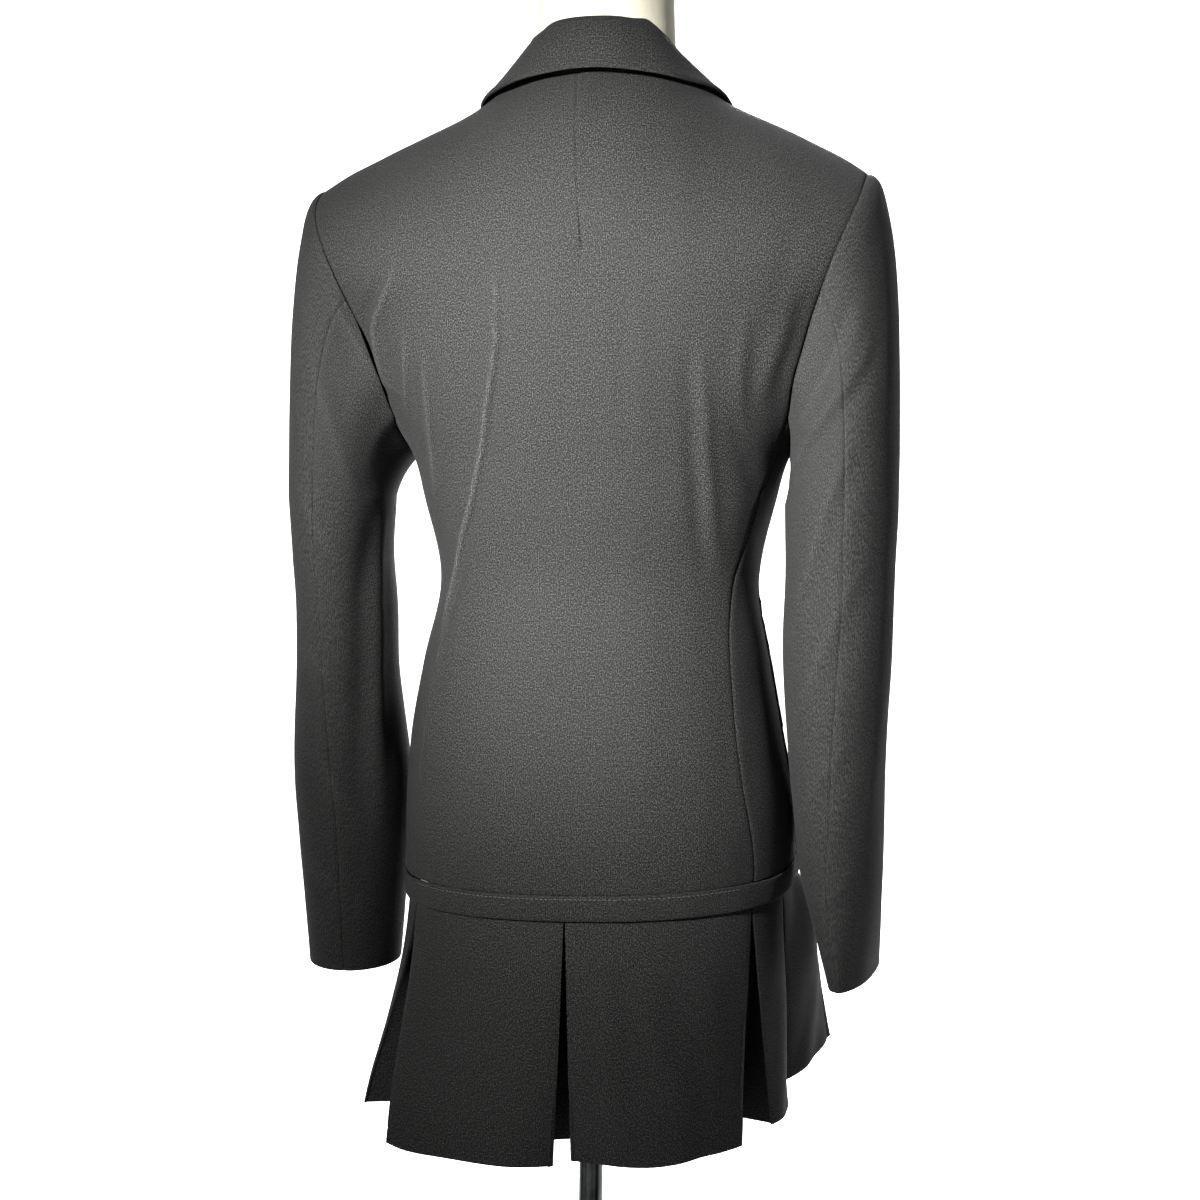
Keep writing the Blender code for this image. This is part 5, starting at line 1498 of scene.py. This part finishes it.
# Share of the radius and height of each ring of a button: its sunk middle, its rolled
# rim and its underside.
BUTTON_PROFILE = ((0.45, 0.0021), (0.56, 0.00215), (0.64, 0.0024), (0.72, 0.0031),
                  (0.80, 0.0035), (0.88, 0.0036), (0.95, 0.0033), (1.0, 0.0024),
                  (1.0, 0.0010), (0.96, 0.0003), (0.90, 0.0))
BUTTON_STEPS = 64
HOLE_PLACE = 0.0017       # a button's holes lie this far from its middle, both ways
HOLE_RADIUS = 0.00095


def button_mesh(name):
    """A turned button: rings from its sunk middle over the rim, with both ends filled."""
    shape = bmesh.new()
    rings = []
    for share, height in BUTTON_PROFILE:
        turns = [2 * math.pi * k / BUTTON_STEPS for k in range(BUTTON_STEPS)]
        rings.append([shape.verts.new((BUTTON_RADIUS * share * math.cos(turn),
                                       BUTTON_RADIUS * share * math.sin(turn), height))
                      for turn in turns])
    for upper, lower in zip(rings[:-1], rings[1:]):
        for k in range(BUTTON_STEPS):
            n = (k + 1) % BUTTON_STEPS
            shape.faces.new((upper[k], lower[k], lower[n], upper[n]))
    shape.faces.new(rings[0])
    shape.faces.new(rings[-1][::-1])
    bmesh.ops.recalc_face_normals(shape, faces=shape.faces)
    mesh = bpy.data.meshes.new(name)
    shape.to_mesh(mesh)
    shape.free()
    return mesh


def make_buttons():
    """Four-hole buttons with a rolled rim and a sunk middle, sewn through with thread."""
    for number, (level, lift) in enumerate(BUTTONS, 1):
        name = "button_%d_turned" % number
        button = new_object(name, button_mesh(name), HORN)
        z = button_height(level)
        button.location = placed(-1, -1, 0.0, z, LAP_LIFT + lift)
        slope = (float(depth(-1, 0.0, z + 0.01)) - float(depth(-1, 0.0, z - 0.01))) / 0.02
        button.rotation_euler = (math.pi / 2 + math.atan(slope), 0.0, 0.0)
        bpy.context.view_layer.update()
        place = button.matrix_world.copy()
        cut_holes(button, place)
        declare(button, "button_%d" % number)
        turn = np.array(place.to_3x3())
        origin = np.array(place.translation)
        starts = []
        ends = []
        for hy in (-HOLE_PLACE, HOLE_PLACE):
            for spread in (-0.0004, 0.0, 0.0004):
                for rows, x in ((starts, -0.0020), (ends, 0.0020)):
                    rows.append(origin + turn @ (x, hy + spread, 0.0022))
        outs = [turn @ (0.0, 0.0, 1.0)] * len(starts)
        capsules("button_thread_%d" % number, starts, ends, outs, BUTTON_THREAD_RADIUS)


def cut_holes(button, place):
    """Cuts four holes through a button that stands at a place."""
    for hx in (-HOLE_PLACE, HOLE_PLACE):
        for hy in (-HOLE_PLACE, HOLE_PLACE):
            bpy.ops.mesh.primitive_cylinder_add(vertices=20, radius=HOLE_RADIUS, depth=0.02,
                                                location=(hx, hy, 0.0))
            hole = bpy.context.object
            hole.matrix_world = place @ hole.matrix_world
            cut = button.modifiers.new("hole", "BOOLEAN")
            cut.operation = "DIFFERENCE"
            cut.solver = "EXACT"
            cut.object = hole
    graph = bpy.context.evaluated_depsgraph_get()
    finished = bpy.data.meshes.new_from_object(button.evaluated_get(graph))
    for cutter in [cut.object for cut in button.modifiers]:
        bpy.data.objects.remove(cutter)
    button.modifiers.clear()
    button.data = finished


# ---------------------------------------------------------------- form and stand

FORM_STEPS = 160          # points round the form
FORM_TOP = 1.380          # where its neck starts
NECK_TOP = 1.532


def make_form():
    """The linen-covered form, with a sewn seam down the middle back and front."""
    turns = np.linspace(0, 2 * math.pi, FORM_STEPS + 1)
    heights = np.r_[FORM_BOTTOM, FORM_BOTTOM + 0.0015, FORM_BOTTOM + 0.005,
                    np.linspace(FORM_BOTTOM + 0.011, FORM_TOP, 150)]
    rings = [form_section(turns, z) for z in heights]
    rings += [neck_section(turns, z) for z in np.linspace(FORM_TOP + 0.006, NECK_TOP, 60)]
    points = np.array(rings)
    normals = outward(points, True)
    normals[:, [0, -1]] = unit(normals[:, :1] + normals[:, -1:])
    u, v = metres(points)
    front = FORM_STEPS // 2
    lift = (-0.0007 * bell(np.minimum(u, u[:, -1:] - u), 0.0012)
            - 0.0005 * bell(u - u[:, front:front + 1], 0.0012))
    mesh = sheet_mesh("form_cover", points + normals * lift[..., None], False,
                      np.stack((u, v), axis=-1))
    turned_outward(mesh, closed=True)
    declare(new_object("form_cover", mesh, LINEN_COVER), "form")


def finish_stand():
    """The pole and foot are shown as they are, in chrome."""
    for name in ("pole", "base"):
        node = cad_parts[name]
        node.data.materials.clear()
        node.data.materials.append(CHROME_FINISH)
        for face in node.data.polygons:
            face.use_smooth = True


# ---------------------------------------------------------------- room, light, camera

ROOM_HALF = 5.0           # half the width of the paper
ROOM_NEAR = 3.2
ROOM_FAR = -3.4
ROOM_TOP = 4.5
ROOM_BEND = 0.8           # radius where the floor turns up into the wall
GLOW_START = -0.9         # the paper glows from here on, so that it shows as plain white
GLOW_FULL = -1.25
KEY_PLACE = (0.55, 1.49, 1.60)
CAMERA_PLACE = Vector((-0.2369, 1.2782, 1.165))
SENSOR = 36.0
LENS = 51.3
PHOTO_WIDTH = 1200
PITCH = math.radians(5.35)
ROLL = math.radians(0.8)


def make_room():
    """White paper that runs from the floor up the wall in one sweep."""
    look = Look(bpy.data.materials.new("pale_paper"))
    glow = look.add("MapRange", {"Value": look.parts(look.places())["Y"],
                                 "From Min": GLOW_START, "From Max": GLOW_FULL,
                                 "To Min": 0.06, "To Max": 1.0})
    paper = look.finished({"Base Color": (0.90, 0.90, 0.90, 1.0), "Roughness": 0.9,
                           "Emission Color": (1.0, 1.0, 1.0, 1.0),
                           "Emission Strength": glow.outputs["Result"]})
    rows = [(ROOM_NEAR, 0.0)]
    for angle in np.linspace(0.0, math.pi / 2, 13):
        rows.append((ROOM_FAR + ROOM_BEND * (1 - math.sin(angle)),
                     ROOM_BEND * (1 - math.cos(angle))))
    rows.append((ROOM_FAR, ROOM_TOP))
    points = np.array([[(x, y, z) for x in (-ROOM_HALF, ROOM_HALF)] for y, z in rows])
    new_object("paper_sweep", grid_mesh("paper_sweep", points, True), paper)


def add_lamp(kind, name, place, target, power, **settings):
    """A lamp at a place, turned towards a target."""
    light = bpy.data.lights.new(name, kind)
    light.energy = power
    for key, value in settings.items():
        setattr(light, key, value)
    lamp = new_object(name, light)
    lamp.location = place
    lamp.rotation_euler = (Vector(target) - Vector(place)).to_track_quat("-Z", "Y").to_euler()


def light_room():
    """A soft lamp near the camera that falls off over the jacket, and a room that is
    pale round the horizon and darker overhead."""
    for name, target, angle, power in (("key", (-0.055, 0.09, 1.18), 27.0, 1080.0),
                                       ("key_spill", (-0.045, 0.09, 1.08), 42.0, 310.0)):
        add_lamp("SPOT", name, KEY_PLACE, target, power, spot_size=math.radians(angle),
                 spot_blend=1.0, shadow_soft_size=0.09)
    for name, place, target, size, power in (
            ("front_fill", (0.1, -2.7, 1.9), (0.0, 0.0, 1.15), 1.2, 110.0),
            ("backdrop_wash", (0.0, -1.0, 3.2), (0.0, -3.2, 0.8), 2.0, 60.0)):
        add_lamp("AREA", name, place, target, power, shape="DISK", size=size)
    look = Look(bpy.data.worlds.new("soft_room"))
    height = look.parts(look.places("Generated"))["Z"]
    up = look.maths("ADD", look.maths("MULTIPLY", height, 0.5), 0.5)
    pale = look.ramp(up, (0.30, 0.10), (0.42, 0.36), (0.58, 0.36), (0.78, 0.08), (1.0, 0.03))
    look.feed(look.nodes["Background"], {"Color": pale})
    bpy.context.scene.world = look.owner
    bpy.context.scene.view_settings.view_transform = "Standard"


def place_camera():
    """At the photograph's angle: behind, a little to the wearer's right, level with the
    chest and looking slightly down. It aims a pixel beside the middle of the frame."""
    lens = bpy.data.cameras.new("view")
    lens.sensor_width = SENSOR
    lens.lens = LENS
    one_pixel = SENSOR / LENS / PHOTO_WIDTH
    heading = math.atan2(-CAMERA_PLACE.x, -CAMERA_PLACE.y) + one_pixel
    way = Vector((math.sin(heading) * math.cos(PITCH), math.cos(heading) * math.cos(PITCH),
                  -math.sin(PITCH)))
    camera = new_object("view", lens)
    camera.location = CAMERA_PLACE
    camera.rotation_mode = "QUATERNION"
    camera.rotation_quaternion = (way.to_track_quat("-Z", "Y")
                                  @ Quaternion((0.0, 0.0, 1.0), ROLL))
    bpy.context.scene.camera = camera


WOOL = wool_material()
LINEN_COVER = linen_material()
CHROME_FINISH = chrome_material()
HORN = horn_material()
THREAD = thread_material()

make_back()
for SIDE, WORD in ((1, "left"), (-1, "right")):
    make_side_back(SIDE, WORD)
    make_front(SIDE, WORD)
    make_sleeve(SIDE, WORD)
    make_lapel(SIDE, WORD)
make_collar()
make_band()
make_skirt()
stitch_band()
stitch_buttonholes()
make_buttons()
make_form()
finish_stand()
make_room()
light_room()
place_camera()
